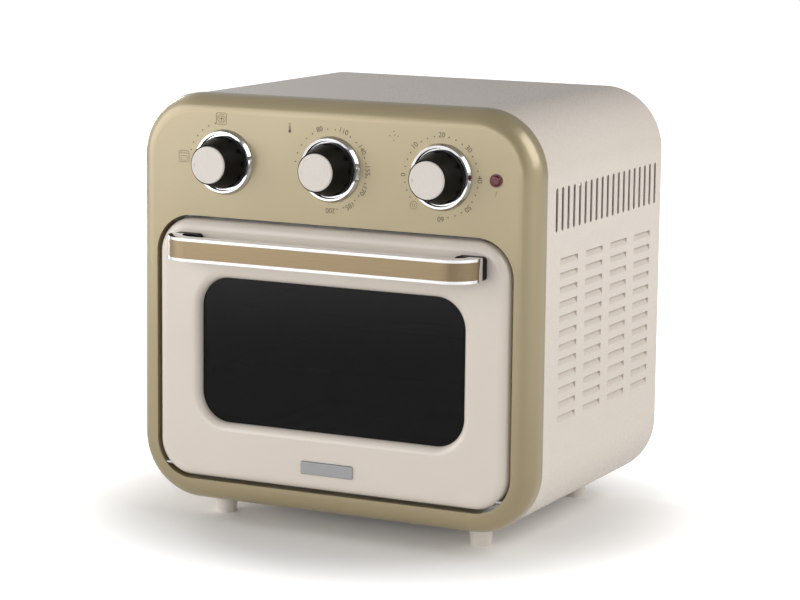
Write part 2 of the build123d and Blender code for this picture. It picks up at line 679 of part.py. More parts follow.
# Chamber floor, back and ceiling
plate_width = CHAMBER_WIDTH + 2 * SHEET
with BuildPart() as chamber_floor:
    with BuildSketch(level(CHAMBER_FLOOR_Z - SHEET)):
        with Locations((0, FRONT_Y + CHAMBER_FRONT)):
            Rectangle(plate_width, CHAMBER_LENGTH, align=(Align.CENTER, Align.MIN))
    extrude(amount=SHEET)
save(chamber_floor, "chamber_floor")
with BuildPart() as chamber_back:
    with BuildSketch(facing(CHAMBER_BACK_DEPTH + SHEET)):
        with Locations((0, CHAMBER_MID_Z)):
            Rectangle(plate_width, CHAMBER_HEIGHT + 2 * SHEET)
    extrude(amount=SHEET)
save(chamber_back, "chamber_back")
with BuildPart() as chamber_ceiling:
    with BuildSketch(level(CHAMBER_TOP_Z)):
        with Locations((0, FRONT_Y + CHAMBER_FRONT)):
            Rectangle(plate_width, CHAMBER_LENGTH, align=(Align.CENTER, Align.MIN))
        with Locations((0, FAN_Y)):
            Circle(CEILING_HOLE_RADIUS, mode=Mode.SUBTRACT)
        with Locations((BULB_X, FRONT_Y + CAPILLARY_DEPTH)):
            Circle(CAPILLARY_HOLE_RADIUS, mode=Mode.SUBTRACT)
    extrude(amount=SHEET)
save(chamber_ceiling, "chamber_ceiling")

# Fan dome: a cup on the ceiling that holds the fan, with holes for the shaft and the heater legs
heater_half_gap = math.radians(HEATER_GAP_ANGLE)
heater_leg_x = HEATER_RADIUS * math.sin(heater_half_gap) - HEATER_BEND * math.cos(heater_half_gap)
heater_leg_y = HEATER_RADIUS * math.cos(heater_half_gap) + HEATER_BEND * math.sin(heater_half_gap)
with BuildPart() as fan_dome:
    with BuildSketch(level(DECK_Z)):
        with Locations((0, FAN_Y)):
            Circle(DOME_RADIUS)
    extrude(amount=DOME_HEIGHT)
    with BuildSketch(level(DECK_Z)):
        with Locations((0, FAN_Y)):
            Circle(DOME_RADIUS + DOME_FLANGE)
    extrude(amount=SHEET)
    with BuildSketch(level(DECK_Z)):
        with Locations((0, FAN_Y)):
            Circle(DOME_RADIUS - SHEET)
    extrude(amount=DOME_HEIGHT - SHEET, mode=Mode.SUBTRACT)
    with BuildSketch(level(DECK_Z)):
        with Locations((0, FAN_Y)):
            Circle(SHAFT_HOLE_RADIUS)
        with Locations((heater_leg_x, FAN_Y + heater_leg_y), (-heater_leg_x, FAN_Y + heater_leg_y)):
            Circle(HEATER_TUBE)
    extrude(amount=DOME_HEIGHT, mode=Mode.SUBTRACT)
save(fan_dome, "fan_dome")

# Heater: one ring of tube whose ends bend up through the dome
heater_z = CHAMBER_TOP_Z - HEATER_DROP
with BuildPart() as heater:
    with BuildLine(level(heater_z)) as heater_ring:
        CenterArc((0, FAN_Y), HEATER_RADIUS, 90 + HEATER_GAP_ANGLE, 360 - 2 * HEATER_GAP_ANGLE)
    with BuildSketch(Plane(heater_ring.line @ 0, z_dir=heater_ring.line % 0)):
        Circle(HEATER_TUBE)
    sweep(path=heater_ring.line)
    for place in (0, 1):
        ring_end = heater_ring.line @ place
        outward = (heater_ring.line % place) * (1 if place else -1)
        with BuildLine() as heater_leg:
            leg_bend = ring_end + outward * HEATER_BEND + Vector(0, 0, HEATER_BEND)
            TangentArc(ring_end, leg_bend, tangent=outward)
            Line(leg_bend, (leg_bend.X, leg_bend.Y, DOME_TOP_Z + HEATER_RISE))
        with BuildSketch(Plane(ring_end, z_dir=outward)):
            Circle(HEATER_TUBE)
        sweep(path=heater_leg.line)
save(heater, "heater")

# Fan guard: rings and spokes on four legs below the heater
guard_z = CHAMBER_TOP_Z - GUARD_DROP
with BuildPart() as fan_guard:
    with BuildSketch(level(guard_z)):
        with Locations((0, FAN_Y)):
            for ring in range(GUARD_RINGS):
                ring_radius = GUARD_RADIUS - ring * GUARD_RING_PITCH
                Circle(ring_radius)
                Circle(ring_radius - GUARD_BAR, mode=Mode.SUBTRACT)
            for spoke in range(GUARD_SPOKES // 2):
                Rectangle(2 * GUARD_RADIUS - GUARD_BAR, GUARD_BAR, rotation=spoke * 360 / GUARD_SPOKES)
    extrude(amount=GUARD_BAR)
    with BuildSketch(level(guard_z)):
        with Locations((0, FAN_Y)):
            with PolarLocations(GUARD_LEG_RING, 4, start_angle=45):
                Circle(GUARD_LEG_RADIUS)
    extrude(amount=GUARD_DROP)
save(fan_guard, "fan_guard")


def bladed_wheel(bottom, height, radius, blade_length, blade_count, blades_down):
    """A hub, a round plate and straight blades, bored for the fan shaft."""
    plate_z = bottom + height - FAN_PLATE if blades_down else bottom
    with BuildPart() as wheel:
        with BuildSketch(level(bottom)):
            with Locations((0, FAN_Y)):
                Circle(FAN_HUB_RADIUS)
                with PolarLocations(radius - blade_length / 2, blade_count):
                    Rectangle(blade_length, BLADE_THICKNESS)
        extrude(amount=height)
        with BuildSketch(level(plate_z)):
            with Locations((0, FAN_Y)):
                Circle(radius)
        extrude(amount=FAN_PLATE)
        with BuildSketch(level(bottom)):
            with Locations((0, FAN_Y)):
                Circle(SHAFT_RADIUS)
        extrude(amount=height, mode=Mode.SUBTRACT)
    return wheel


# Hot-air fan, cooling fan and the shaft that carries them, with its hexagon end
fan_bottom = FAN_TOP_Z - FAN_HEIGHT
hot_air_fan = bladed_wheel(fan_bottom, FAN_HEIGHT, FAN_RADIUS, BLADE_LENGTH, FAN_BLADES, True)
save(hot_air_fan, "hot_air_fan")
cooling_fan = bladed_wheel(COOLER_Z, COOLER_HEIGHT, COOLER_RADIUS, COOLER_BLADE_LENGTH, COOLER_BLADES, False)
save(cooling_fan, "cooling_fan")
with BuildPart() as fan_shaft:
    with BuildSketch(level(fan_bottom)):
        with Locations((0, FAN_Y)):
            RegularPolygon(NUT_RADIUS, NUT_SIDES)
    extrude(amount=-NUT_HEIGHT)
    with BuildSketch(level(fan_bottom)):
        with Locations((0, FAN_Y)):
            Circle(SHAFT_RADIUS)
    extrude(amount=MOTOR_TOP_Z - fan_bottom)
save(fan_shaft, "fan_shaft")

# Motor bracket: a bridge of bent strip that stands on the ceiling plate
with BuildPart() as motor_bracket:
    with BuildSketch(Plane.XZ.offset(-FAN_Y - STRAP_WIDTH / 2)):
        with BuildLine():
            Polyline(
                (-STRAP_LEG_X - STRAP_FOOT, DECK_Z),
                (-STRAP_LEG_X, DECK_Z),
                (-STRAP_LEG_X, STRAP_Z),
                (STRAP_LEG_X, STRAP_Z),
                (STRAP_LEG_X, DECK_Z),
                (STRAP_LEG_X + STRAP_FOOT, DECK_Z),
                (STRAP_LEG_X + STRAP_FOOT, DECK_Z + STRAP_THICKNESS),
                (STRAP_LEG_X + STRAP_THICKNESS, DECK_Z + STRAP_THICKNESS),
                (STRAP_LEG_X + STRAP_THICKNESS, STRAP_Z + STRAP_THICKNESS),
                (-STRAP_LEG_X - STRAP_THICKNESS, STRAP_Z + STRAP_THICKNESS),
                (-STRAP_LEG_X - STRAP_THICKNESS, DECK_Z + STRAP_THICKNESS),
                (-STRAP_LEG_X - STRAP_FOOT, DECK_Z + STRAP_THICKNESS),
                close=True,
            )
        make_face()
    extrude(amount=STRAP_WIDTH)
    with BuildSketch(level(STRAP_Z)):
        with Locations((0, FAN_Y)):
            Circle(SHAFT_HOLE_RADIUS)
    extrude(amount=STRAP_THICKNESS, mode=Mode.SUBTRACT)
save(motor_bracket, "motor_bracket")

# Motor: laminated core, coil and two bearings, bored for the shaft
with BuildPart() as motor:
    with BuildSketch(level(STRAP_Z + STRAP_THICKNESS)):
        with Locations((0, FAN_Y)):
            Circle(BEARING_RADIUS)
    extrude(amount=MOTOR_TOP_Z - STRAP_Z - STRAP_THICKNESS)
    with BuildSketch(level(CORE_Z)):
        with Locations((0, FAN_Y)):
            RectangleRounded(COIL_WIDTH, COIL_LENGTH, COIL_CORNER)
    extrude(amount=COIL_HEIGHT)
    with BuildSketch(level(CORE_Z + (COIL_HEIGHT - CORE_HEIGHT) / 2)):
        with Locations((0, FAN_Y)):
            Rectangle(CORE_WIDTH, CORE_LENGTH)
    extrude(amount=CORE_HEIGHT)
    with BuildSketch(level(STRAP_Z + STRAP_THICKNESS)):
        with Locations((0, FAN_Y)):
            Circle(SHAFT_RADIUS + SHAFT_CLEARANCE)
    extrude(amount=MOTOR_TOP_Z - STRAP_Z, mode=Mode.SUBTRACT)
save(motor, "motor")

# Control bracket on the frame's posts, with its screws
control_height = BRACKET_HEIGHT
with BuildPart() as control_bracket:
    with BuildSketch(facing(CONTROL_DEPTH)):
        with Locations((0, KNOB_Z)):
            RectangleRounded(BRACKET_WIDTH, control_height, 4)
            with GridLocations(2 * POST_X, 2 * POST_Z, 2, 2):
                Circle(POST_SCREW_RADIUS, mode=Mode.SUBTRACT)
            with GridLocations(KNOB_SPACING, 0, KNOB_COUNT, 1):
                Circle(NECK_RADIUS, mode=Mode.SUBTRACT)
    extrude(amount=BRACKET_THICKNESS)
save(control_bracket, "control_bracket")

# Case screws: through the feet, through the back panel and through the control bracket
with BuildPart() as case_screws:
    for foot_x, foot_y in foot_places.values():
        with Locations((foot_x, foot_y, FOOT_COUNTERBORE_DEPTH)):
            Cylinder(SCREW_HEAD_RADIUS, SCREW_HEAD_HEIGHT, align=(Align.CENTER, Align.CENTER, Align.MAX))
            Cylinder(
                SCREW_RADIUS,
                base_plate_z + SCREW_LENGTH - FOOT_COUNTERBORE_DEPTH,
                align=(Align.CENTER, Align.CENTER, Align.MIN),
            )
    with BuildSketch(facing(BODY_DEPTH)):
        with Locations((0, BODY_MID_Z)):
            with GridLocations(2 * BACK_SCREW_X, 2 * back_screw_z, 2, 2):
                Circle(SCREW_HEAD_RADIUS)
    extrude(amount=-SCREW_HEAD_HEIGHT)
    with BuildSketch(facing(BODY_DEPTH)):
        with Locations((0, BODY_MID_Z)):
            with GridLocations(2 * BACK_SCREW_X, 2 * back_screw_z, 2, 2):
                Circle(SCREW_RADIUS)
    extrude(amount=SCREW_LENGTH)
    with BuildSketch(facing(CONTROL_DEPTH)):
        with Locations((0, KNOB_Z)):
            with GridLocations(2 * POST_X, 2 * POST_Z, 2, 2):
                Circle(2 * POST_SCREW_RADIUS)
    extrude(amount=-SCREW_HEAD_HEIGHT)
    with BuildSketch(facing(CONTROL_DEPTH)):
        with Locations((0, KNOB_Z)):
            with GridLocations(2 * POST_X, 2 * POST_Z, 2, 2):
                Circle(POST_SCREW_RADIUS)
    extrude(amount=BRACKET_THICKNESS + (BRACKET_DEPTH - FRAME_WALL) / 2)
save(case_screws, "case_screws")


def control_body(x, depth, width, height, corner_radius):
    """A control behind the bracket: its case, its threaded neck and the bore for its spindle."""
    with BuildPart() as control:
        with BuildSketch(facing(CONTROL_DEPTH + depth)):
            with Locations((x, KNOB_Z)):
                RectangleRounded(width, height, corner_radius)
        extrude(amount=depth)
        with BuildSketch(facing(CONTROL_DEPTH)):
            with Locations((x, KNOB_Z)):
                Circle(NECK_RADIUS)
        extrude(amount=CONTROL_DEPTH - NECK_FRONT_DEPTH)
        with BuildSketch(facing(SPINDLE_END + SPINDLE_CLEARANCE)):
            with Locations((x, KNOB_Z)):
                Circle(SPINDLE_RADIUS + SPINDLE_CLEARANCE)
        extrude(amount=SPINDLE_END, mode=Mode.SUBTRACT)
    return control


# Selector switch, thermostat and timer behind the bracket, the timer with its bell
selector_switch = control_body(KNOB_XS[0], SELECTOR_DEPTH, SELECTOR_SIZE, SELECTOR_SIZE, CONTROL_CORNER)
save(selector_switch, "selector_switch")
thermostat = control_body(KNOB_XS[1], THERMOSTAT_DEPTH, THERMOSTAT_WIDTH, THERMOSTAT_HEIGHT, CONTROL_CORNER)
save(thermostat, "thermostat")
timer_case = control_body(KNOB_XS[2], TIMER_DEPTH, 2 * TIMER_RADIUS, 2 * TIMER_RADIUS, TIMER_RADIUS - TIMER_FLAT)
with BuildPart() as timer:
    add(timer_case.part)
    with BuildSketch(facing(CONTROL_DEPTH + TIMER_DEPTH + BELL_DEPTH)):
        with Locations((KNOB_XS[2], KNOB_Z)):
            Circle(BELL_RADIUS)
    extrude(amount=BELL_DEPTH)
    fillet(edges_at_depth(timer, CONTROL_DEPTH + TIMER_DEPTH + BELL_DEPTH), BELL_DEPTH / 2)
save(timer, "timer")

# Thermostat bulb: a capillary from the thermostat, down through the ceiling, to a bulb in the chamber
capillary_start = KNOB_Z - THERMOSTAT_HEIGHT / 2
capillary_turn = DECK_Z + CAPILLARY_RISE
bulb_z = CHAMBER_TOP_Z - BULB_DROP
capillary_y = FRONT_Y + CONTROL_DEPTH + THERMOSTAT_DEPTH * CAPILLARY_SHARE
with BuildPart() as thermostat_bulb:
    with BuildLine() as capillary:
        FilletPolyline(
            (KNOB_XS[1], capillary_y, capillary_start),
            (KNOB_XS[1], capillary_y, capillary_turn),
            (BULB_X, FRONT_Y + CAPILLARY_DEPTH, capillary_turn),
            (BULB_X, FRONT_Y + CAPILLARY_DEPTH, bulb_z),
            (BULB_X, FRONT_Y + BULB_FRONT_DEPTH, bulb_z),
            radius=CAPILLARY_BEND,
        )
    with BuildSketch(Plane(capillary.line @ 0, z_dir=capillary.line % 0)):
        Circle(CAPILLARY_RADIUS)
    sweep(path=capillary.line)
    with BuildSketch(facing(BULB_FRONT_DEPTH + BULB_LENGTH)):
        with Locations((BULB_X, bulb_z)):
            Circle(BULB_RADIUS)
    extrude(amount=BULB_LENGTH)
save(thermostat_bulb, "thermostat_bulb")

# Pilot lamp: a domed lens with a rim on the frame, and the lamp's case behind the frame
with BuildPart() as pilot_lamp:
    with BuildSketch(facing(FRAME_WALL)):
        with Locations((LAMP_X, FOOT_HEIGHT + LAMP_LIFT)):
            Circle(LAMP_RADIUS)
    extrude(amount=FRAME_WALL + LAMP_PROUD)
    fillet(edges_at_depth(pilot_lamp, -LAMP_PROUD), LAMP_PROUD - LAMP_RIM)
    with BuildSketch(facing(0)):
        with Locations((LAMP_X, FOOT_HEIGHT + LAMP_LIFT)):
            Circle(LAMP_RIM_RADIUS)
    extrude(amount=LAMP_RIM)
    with BuildSketch(facing(FRAME_WALL + LAMP_BODY_LENGTH)):
        with Locations((LAMP_X, FOOT_HEIGHT + LAMP_LIFT)):
            Circle(LAMP_BODY_RADIUS)
    extrude(amount=LAMP_BODY_LENGTH)
save(pilot_lamp, "pilot_lamp")

# Bezels, knobs, caps and spindles, one set for each control
for knob_name, knob_x in zip(KNOB_NAMES, KNOB_XS):
    knob_axis = Plane(origin=(knob_x, FRONT_Y, KNOB_Z), x_dir=(1, 0, 0), z_dir=(0, 0, 1))
    with BuildPart() as bezel:
        with BuildSketch(knob_axis):
            with BuildLine():
                Polyline(
                    (NECK_RADIUS + NECK_CLEARANCE, 0),
                    (BEZEL_RADIUS, 0),
                    (BEZEL_RADIUS, -BEZEL_FOOT),
                    (BEZEL_TOP_RADIUS, -BEZEL_PROUD),
                    (DISH_RADIUS + DISH_LIP, -BEZEL_PROUD),
                    (DISH_RADIUS, -DISH_FLOOR),
                    (NECK_RADIUS + NECK_CLEARANCE, -DISH_FLOOR),
                    close=True,
                )
            make_face()
        revolve(axis=Axis((knob_x, FRONT_Y, KNOB_Z), (0, 1, 0)))
    save(bezel, f"bezel_{knob_name}")
    with BuildPart() as knob:
        with BuildSketch(knob_axis):
            with BuildLine():
                Polyline(
                    (0, -KNOB_BASE),
                    (KNOB_RADIUS, -KNOB_BASE),
                    (KNOB_RADIUS, -KNOB_BASE - KNOB_SKIRT),
                    (KNOB_TOP_RADIUS, -KNOB_FRONT),
                    (0, -KNOB_FRONT),
                    close=True,
                )
            make_face()
        revolve(axis=Axis((knob_x, FRONT_Y, KNOB_Z), (0, 1, 0)))
        with BuildSketch(facing(-KNOB_FRONT - 1)):
            with Locations((knob_x, KNOB_Z)):
                with PolarLocations(KNOB_RADIUS + FLUTE_RADIUS / 2, FLUTE_COUNT):
                    Circle(FLUTE_RADIUS)
        extrude(amount=KNOB_BASE + 4 - KNOB_FRONT - 1, mode=Mode.SUBTRACT)
        with BuildSketch(facing(-KNOB_FRONT)):
            with Locations((knob_x, KNOB_Z)):
                Circle(CAP_RADIUS)
        extrude(amount=-CAP_SEAT, mode=Mode.SUBTRACT)
        with BuildSketch(facing(-KNOB_BASE)):
            with Locations((knob_x, KNOB_Z)):
                Circle(SPINDLE_RADIUS)
        extrude(amount=SPINDLE_FRONT - KNOB_BASE, mode=Mode.SUBTRACT)
    save(knob, f"knob_{knob_name}")
    with BuildPart() as knob_cap:
        with BuildSketch(facing(-KNOB_FRONT + CAP_SEAT)):
            with Locations((knob_x, KNOB_Z)):
                Circle(CAP_RADIUS)
        extrude(amount=CAP_FRONT - KNOB_FRONT + CAP_SEAT)
        fillet(edges_at_depth(knob_cap, -CAP_FRONT), CAP_EDGE)
        with BuildSketch(facing(-CAP_FRONT)):
            with Locations((knob_x - POINTER_X, KNOB_Z)):
                Circle(POINTER_RADIUS)
        extrude(amount=-POINTER_DEPTH, mode=Mode.SUBTRACT)
    save(knob_cap, f"knob_cap_{knob_name}")
    with BuildPart() as spindle:
        with BuildSketch(facing(SPINDLE_END)):
            with Locations((knob_x, KNOB_Z)):
                Circle(SPINDLE_RADIUS)
        extrude(amount=SPINDLE_END + SPINDLE_FRONT)
    save(spindle, f"spindle_{knob_name}")

# Door frame: a moulded shell with rounded edges, a window and a lug for each hinge pin
with BuildPart() as door_frame:
    with BuildSketch(facing(DOOR_REAR)):
        door_outline(0)
    extrude(amount=DOOR_THICKNESS)
    with BuildSketch(facing(DOOR_REAR)):
        door_outline(-DOOR_WALL)
    extrude(amount=DOOR_THICKNESS - DOOR_WALL, mode=Mode.SUBTRACT)
    fillet(edges_at_depth(door_frame, DOOR_FACE + DOOR_WALL), DOOR_EDGE_INNER)
    fillet(edges_at_depth(door_frame, DOOR_FACE), DOOR_EDGE_RADIUS)
    with BuildSketch(facing(GLASS_FRONT)):
        window_outline(WINDOW_LIP)
    extrude(amount=GLASS_SETBACK - DOOR_WALL / 2)
    for side in (-1, 1):
        with BuildSketch(Plane.YZ.offset(side * LUG_IN)):
            with Locations((FRONT_Y + HINGE_DEPTH, HINGE_Z)):
                Circle(LUG_RADIUS)
        extrude(amount=side * (LUG_OUT - LUG_IN))
    with BuildSketch(Plane.YZ.offset(-DOOR_WIDTH / 2)):
        with Locations((FRONT_Y + HINGE_DEPTH, HINGE_Z)):
            Circle(PIN_RADIUS + PIN_CLEARANCE)
    extrude(amount=DOOR_WIDTH, mode=Mode.SUBTRACT)
    with BuildSketch(facing(GLASS_FRONT)):
        window_outline(0)
    extrude(amount=GLASS_SETBACK, mode=Mode.SUBTRACT)
    face_edges = edges_at_depth(door_frame, DOOR_FACE)
    fillet(face_edges.filter_by(lambda edge: abs(edge.center().X) < WINDOW_WIDTH / 2 + 1
                                and abs(edge.center().Z - WINDOW_Z) < WINDOW_HEIGHT / 2 + 1), WINDOW_ROLL)
    with BuildSketch(facing(DOOR_REAR)):
        with Locations((0, DOOR_MID_Z)):
            with GridLocations(2 * DOOR_SCREW_X, 2 * DOOR_SCREW_Z, 2, 2):
                Circle(DOOR_BOSS_RADIUS)
    extrude(amount=DOOR_THICKNESS - DOOR_WALL)
    with BuildSketch(facing(DOOR_REAR)):
        with Locations((0, DOOR_MID_Z)):
            with GridLocations(2 * DOOR_SCREW_X, 2 * DOOR_SCREW_Z, 2, 2):
                Circle(DOOR_SCREW_RADIUS)
    extrude(amount=SCREW_LENGTH, mode=Mode.SUBTRACT)
    with BuildSketch(facing(DOOR_FACE + DOOR_WALL)):
        with Locations((0, HANDLE_Z)):
            with GridLocations(2 * HANDLE_SCREW_X, 0, 2, 1):
                Circle(SCREW_RADIUS)
    extrude(amount=DOOR_WALL, mode=Mode.SUBTRACT)
save(door_frame, "door_frame")

# Glass pane and the seal that presses it against the window's rolled edge
with BuildPart() as door_glass:
    with BuildSketch(facing(GLASS_REAR)):
        window_outline(GLASS_LAP)
    extrude(amount=GLASS_THICKNESS)
save(door_glass, "door_glass")
seal_rear = INNER_PANEL_REAR - SHEET
with BuildPart() as glass_seal:
    with BuildSketch(facing(seal_rear)):
        window_outline(GLASS_LAP)
    extrude(amount=seal_rear - GLASS_REAR)
    with BuildSketch(facing(seal_rear)):
        window_outline(GLASS_LAP - SEAL_WIDTH)
    extrude(amount=seal_rear - GLASS_REAR, mode=Mode.SUBTRACT)
save(glass_seal, "glass_seal")


def inner_panel_outline(inset):
    with Locations((0, INNER_PANEL_Z)):
        RectangleRounded(
            INNER_PANEL_WIDTH - 2 * inset,
            INNER_PANEL_HEIGHT - 2 * inset,
            INNER_PANEL_RADIUS - inset,
        )


# Inner panel: a dished sheet on the door's rear rim, open at the window
with BuildPart() as door_inner_panel:
    with BuildSketch(facing(DOOR_REAR + SHEET)):
        door_outline(-DOOR_WALL / 2)
        with Locations((0, DOOR_MID_Z)):
            with GridLocations(2 * DOOR_SCREW_X, 2 * DOOR_SCREW_Z, 2, 2):
                Circle(DOOR_SCREW_RADIUS, mode=Mode.SUBTRACT)
    extrude(amount=SHEET)
    with BuildSketch(facing(INNER_PANEL_REAR)):
        inner_panel_outline(0)
    extrude(amount=INNER_PANEL_REAR - DOOR_REAR)
    with BuildSketch(facing(INNER_PANEL_REAR - SHEET)):
        inner_panel_outline(SHEET)
    extrude(amount=INNER_PANEL_REAR - SHEET - DOOR_REAR, mode=Mode.SUBTRACT)
    with BuildSketch(facing(INNER_PANEL_REAR)):
        window_outline(0)
    extrude(amount=SHEET, mode=Mode.SUBTRACT)
save(door_inner_panel, "door_inner_panel")

# Hinge pins: fixed in the frame's bosses, turning in the door's lugs
with BuildPart() as hinge_pins:
    for side in (-1, 1):
        with BuildSketch(Plane.YZ.offset(side * PIN_IN)):
            with Locations((FRONT_Y + HINGE_DEPTH, HINGE_Z)):
                Circle(PIN_RADIUS)
        extrude(amount=side * (PIN_OUT - PIN_IN))
save(hinge_pins, "hinge_pins")

# Door stays: quadrant strips round the hinge axis, whose hooks stop the door when it is level
hinge_point = (FRONT_Y + HINGE_DEPTH, HINGE_Z)
for side_name, side in (("left", -1), ("right", 1)):
    with BuildPart() as door_stay:
        with BuildSketch(Plane.YZ.offset(side * STAY_X - STAY_THICKNESS / 2)):
            with BuildLine():
                stay_rim = CenterArc(hinge_point, STAY_OUTER, STAY_TAIL, 90 - STAY_TAIL)
                stay_root = CenterArc(hinge_point, STAY_INNER, STAY_TAIL, 90 - STAY_TAIL)
                Line(stay_rim @ 0, stay_root @ 0)
                Line(stay_rim @ 1, stay_root @ 1)
            make_face()
            with BuildLine():
                hook_rim = CenterArc(hinge_point, STAY_HOOK, STAY_TAIL, STAY_HOOK_ANGLE)
                hook_root = CenterArc(hinge_point, STAY_INNER, STAY_TAIL, STAY_HOOK_ANGLE)
                Line(hook_rim @ 0, hook_root @ 0)
                Line(hook_rim @ 1, hook_root @ 1)
            make_face()
        extrude(amount=STAY_THICKNESS)
        split(bisect_by=facing(INNER_PANEL_REAR), keep=Keep.BOTTOM)
    save(door_stay, f"door_stay_{side_name}")

# Handle: a bar whose ends curve back to the door, with an inlay strip let into its front
bend_centre = HANDLE_END_X - HANDLE_BEND


def handle_bend(radius, side, start, sweep_angle):
    """An arc of the handle's end seen from above, on the left (-1) or the right (1)."""
    if side > 0:
        return CenterArc((bend_centre, FRONT_Y + MOUNT_FRONT), radius, start, sweep_angle)
    return CenterArc((-bend_centre, FRONT_Y + MOUNT_FRONT), radius, 180 - start, -sweep_angle)


def handle_strip(outer_radius, inner_radius, end_angle):
    """A strip along the bar seen from above, between two radii of its end bends."""
    with BuildSketch() as strip:
        with BuildLine():
            starts = []
            for side in (-1, 1):
                outer = handle_bend(outer_radius, side, -90, 90 - end_angle)
                inner = handle_bend(inner_radius, side, -90, 90 - end_angle)
                Line(outer @ 1, inner @ 1)
                starts.append((outer @ 0, inner @ 0))
            Line(starts[0][0], starts[1][0])
            Line(starts[0][1], starts[1][1])
        make_face()
    return strip.sketch


bar_outline = handle_strip(HANDLE_BEND, HANDLE_BEND - HANDLE_THICKNESS, 0)
inlay_outline = handle_strip(HANDLE_BEND, HANDLE_BEND - INLAY_THICKNESS, INLAY_END_ANGLE)
inlay_bottom = HANDLE_Z - INLAY_HEIGHT / 2
with BuildPart() as handle_bar:
    with BuildSketch(level(HANDLE_Z - HANDLE_HEIGHT / 2)):
        add(bar_outline)
    extrude(amount=HANDLE_HEIGHT)
    with BuildSketch(level(inlay_bottom)):
        add(inlay_outline)
    extrude(amount=INLAY_HEIGHT, mode=Mode.SUBTRACT)
    with BuildSketch(facing(MOUNT_FRONT)):
        with Locations((0, HANDLE_Z)):
            with GridLocations(2 * HANDLE_SCREW_X, 0, 2, 1):
                Circle(SCREW_RADIUS)
    extrude(amount=HANDLE_SCREW_GRIP, mode=Mode.SUBTRACT)
save(handle_bar, "handle_bar")
with BuildPart() as handle_inlay:
    with BuildSketch(level(inlay_bottom)):
        add(inlay_outline)
    extrude(amount=INLAY_HEIGHT)
save(handle_inlay, "handle_inlay")
for side_name, side in (("left", -1), ("right", 1)):
    with BuildPart() as handle_mount:
        with BuildSketch(facing(DOOR_FACE)):
            with Locations((side * (HANDLE_END_X - MOUNT_LENGTH / 2), HANDLE_Z)):
                RectangleRounded(MOUNT_LENGTH, HANDLE_HEIGHT, MOUNT_CORNER)
            with Locations((side * HANDLE_SCREW_X, HANDLE_Z)):
                Circle(SCREW_RADIUS, mode=Mode.SUBTRACT)
        extrude(amount=MOUNT_DEPTH)
    save(handle_mount, f"handle_mount_{side_name}")

# Door screws: four in the inner panel and two through the door's skin into the handle
with BuildPart() as door_screws:
    with BuildSketch(facing(DOOR_REAR + SHEET)):
        with Locations((0, DOOR_MID_Z)):
            with GridLocations(2 * DOOR_SCREW_X, 2 * DOOR_SCREW_Z, 2, 2):
                Circle(DOOR_SCREW_HEAD)
    extrude(amount=-SCREW_HEAD_HEIGHT)
    with BuildSketch(facing(DOOR_REAR + SHEET)):
        with Locations((0, DOOR_MID_Z)):
            with GridLocations(2 * DOOR_SCREW_X, 2 * DOOR_SCREW_Z, 2, 2):
                Circle(DOOR_SCREW_RADIUS)
    extrude(amount=SCREW_LENGTH)
    with BuildSketch(facing(DOOR_FACE + DOOR_WALL)):
        with Locations((0, HANDLE_Z)):
            with GridLocations(2 * HANDLE_SCREW_X, 0, 2, 1):
                Circle(SCREW_HEAD_RADIUS)
    extrude(amount=-SCREW_HEAD_HEIGHT)
    with BuildSketch(facing(DOOR_FACE + DOOR_WALL)):
        with Locations((0, HANDLE_Z)):
            with GridLocations(2 * HANDLE_SCREW_X, 0, 2, 1):
                Circle(SCREW_RADIUS)
    extrude(amount=DOOR_WALL + MOUNT_DEPTH + HANDLE_SCREW_GRIP)
save(door_screws, "door_screws")

# Bare plaque below the window
with BuildPart() as badge_plaque:
    with BuildSketch(facing(DOOR_FACE)):
        with Locations((0, FOOT_HEIGHT + BADGE_LIFT)):
            RectangleRounded(BADGE_WIDTH, BADGE_HEIGHT, BADGE_CORNER)
    extrude(amount=BADGE_THICKNESS)
    chamfer(edges_at_depth(badge_plaque, DOOR_FACE - BADGE_THICKNESS), BADGE_BEVEL)
save(badge_plaque, "badge_plaque")

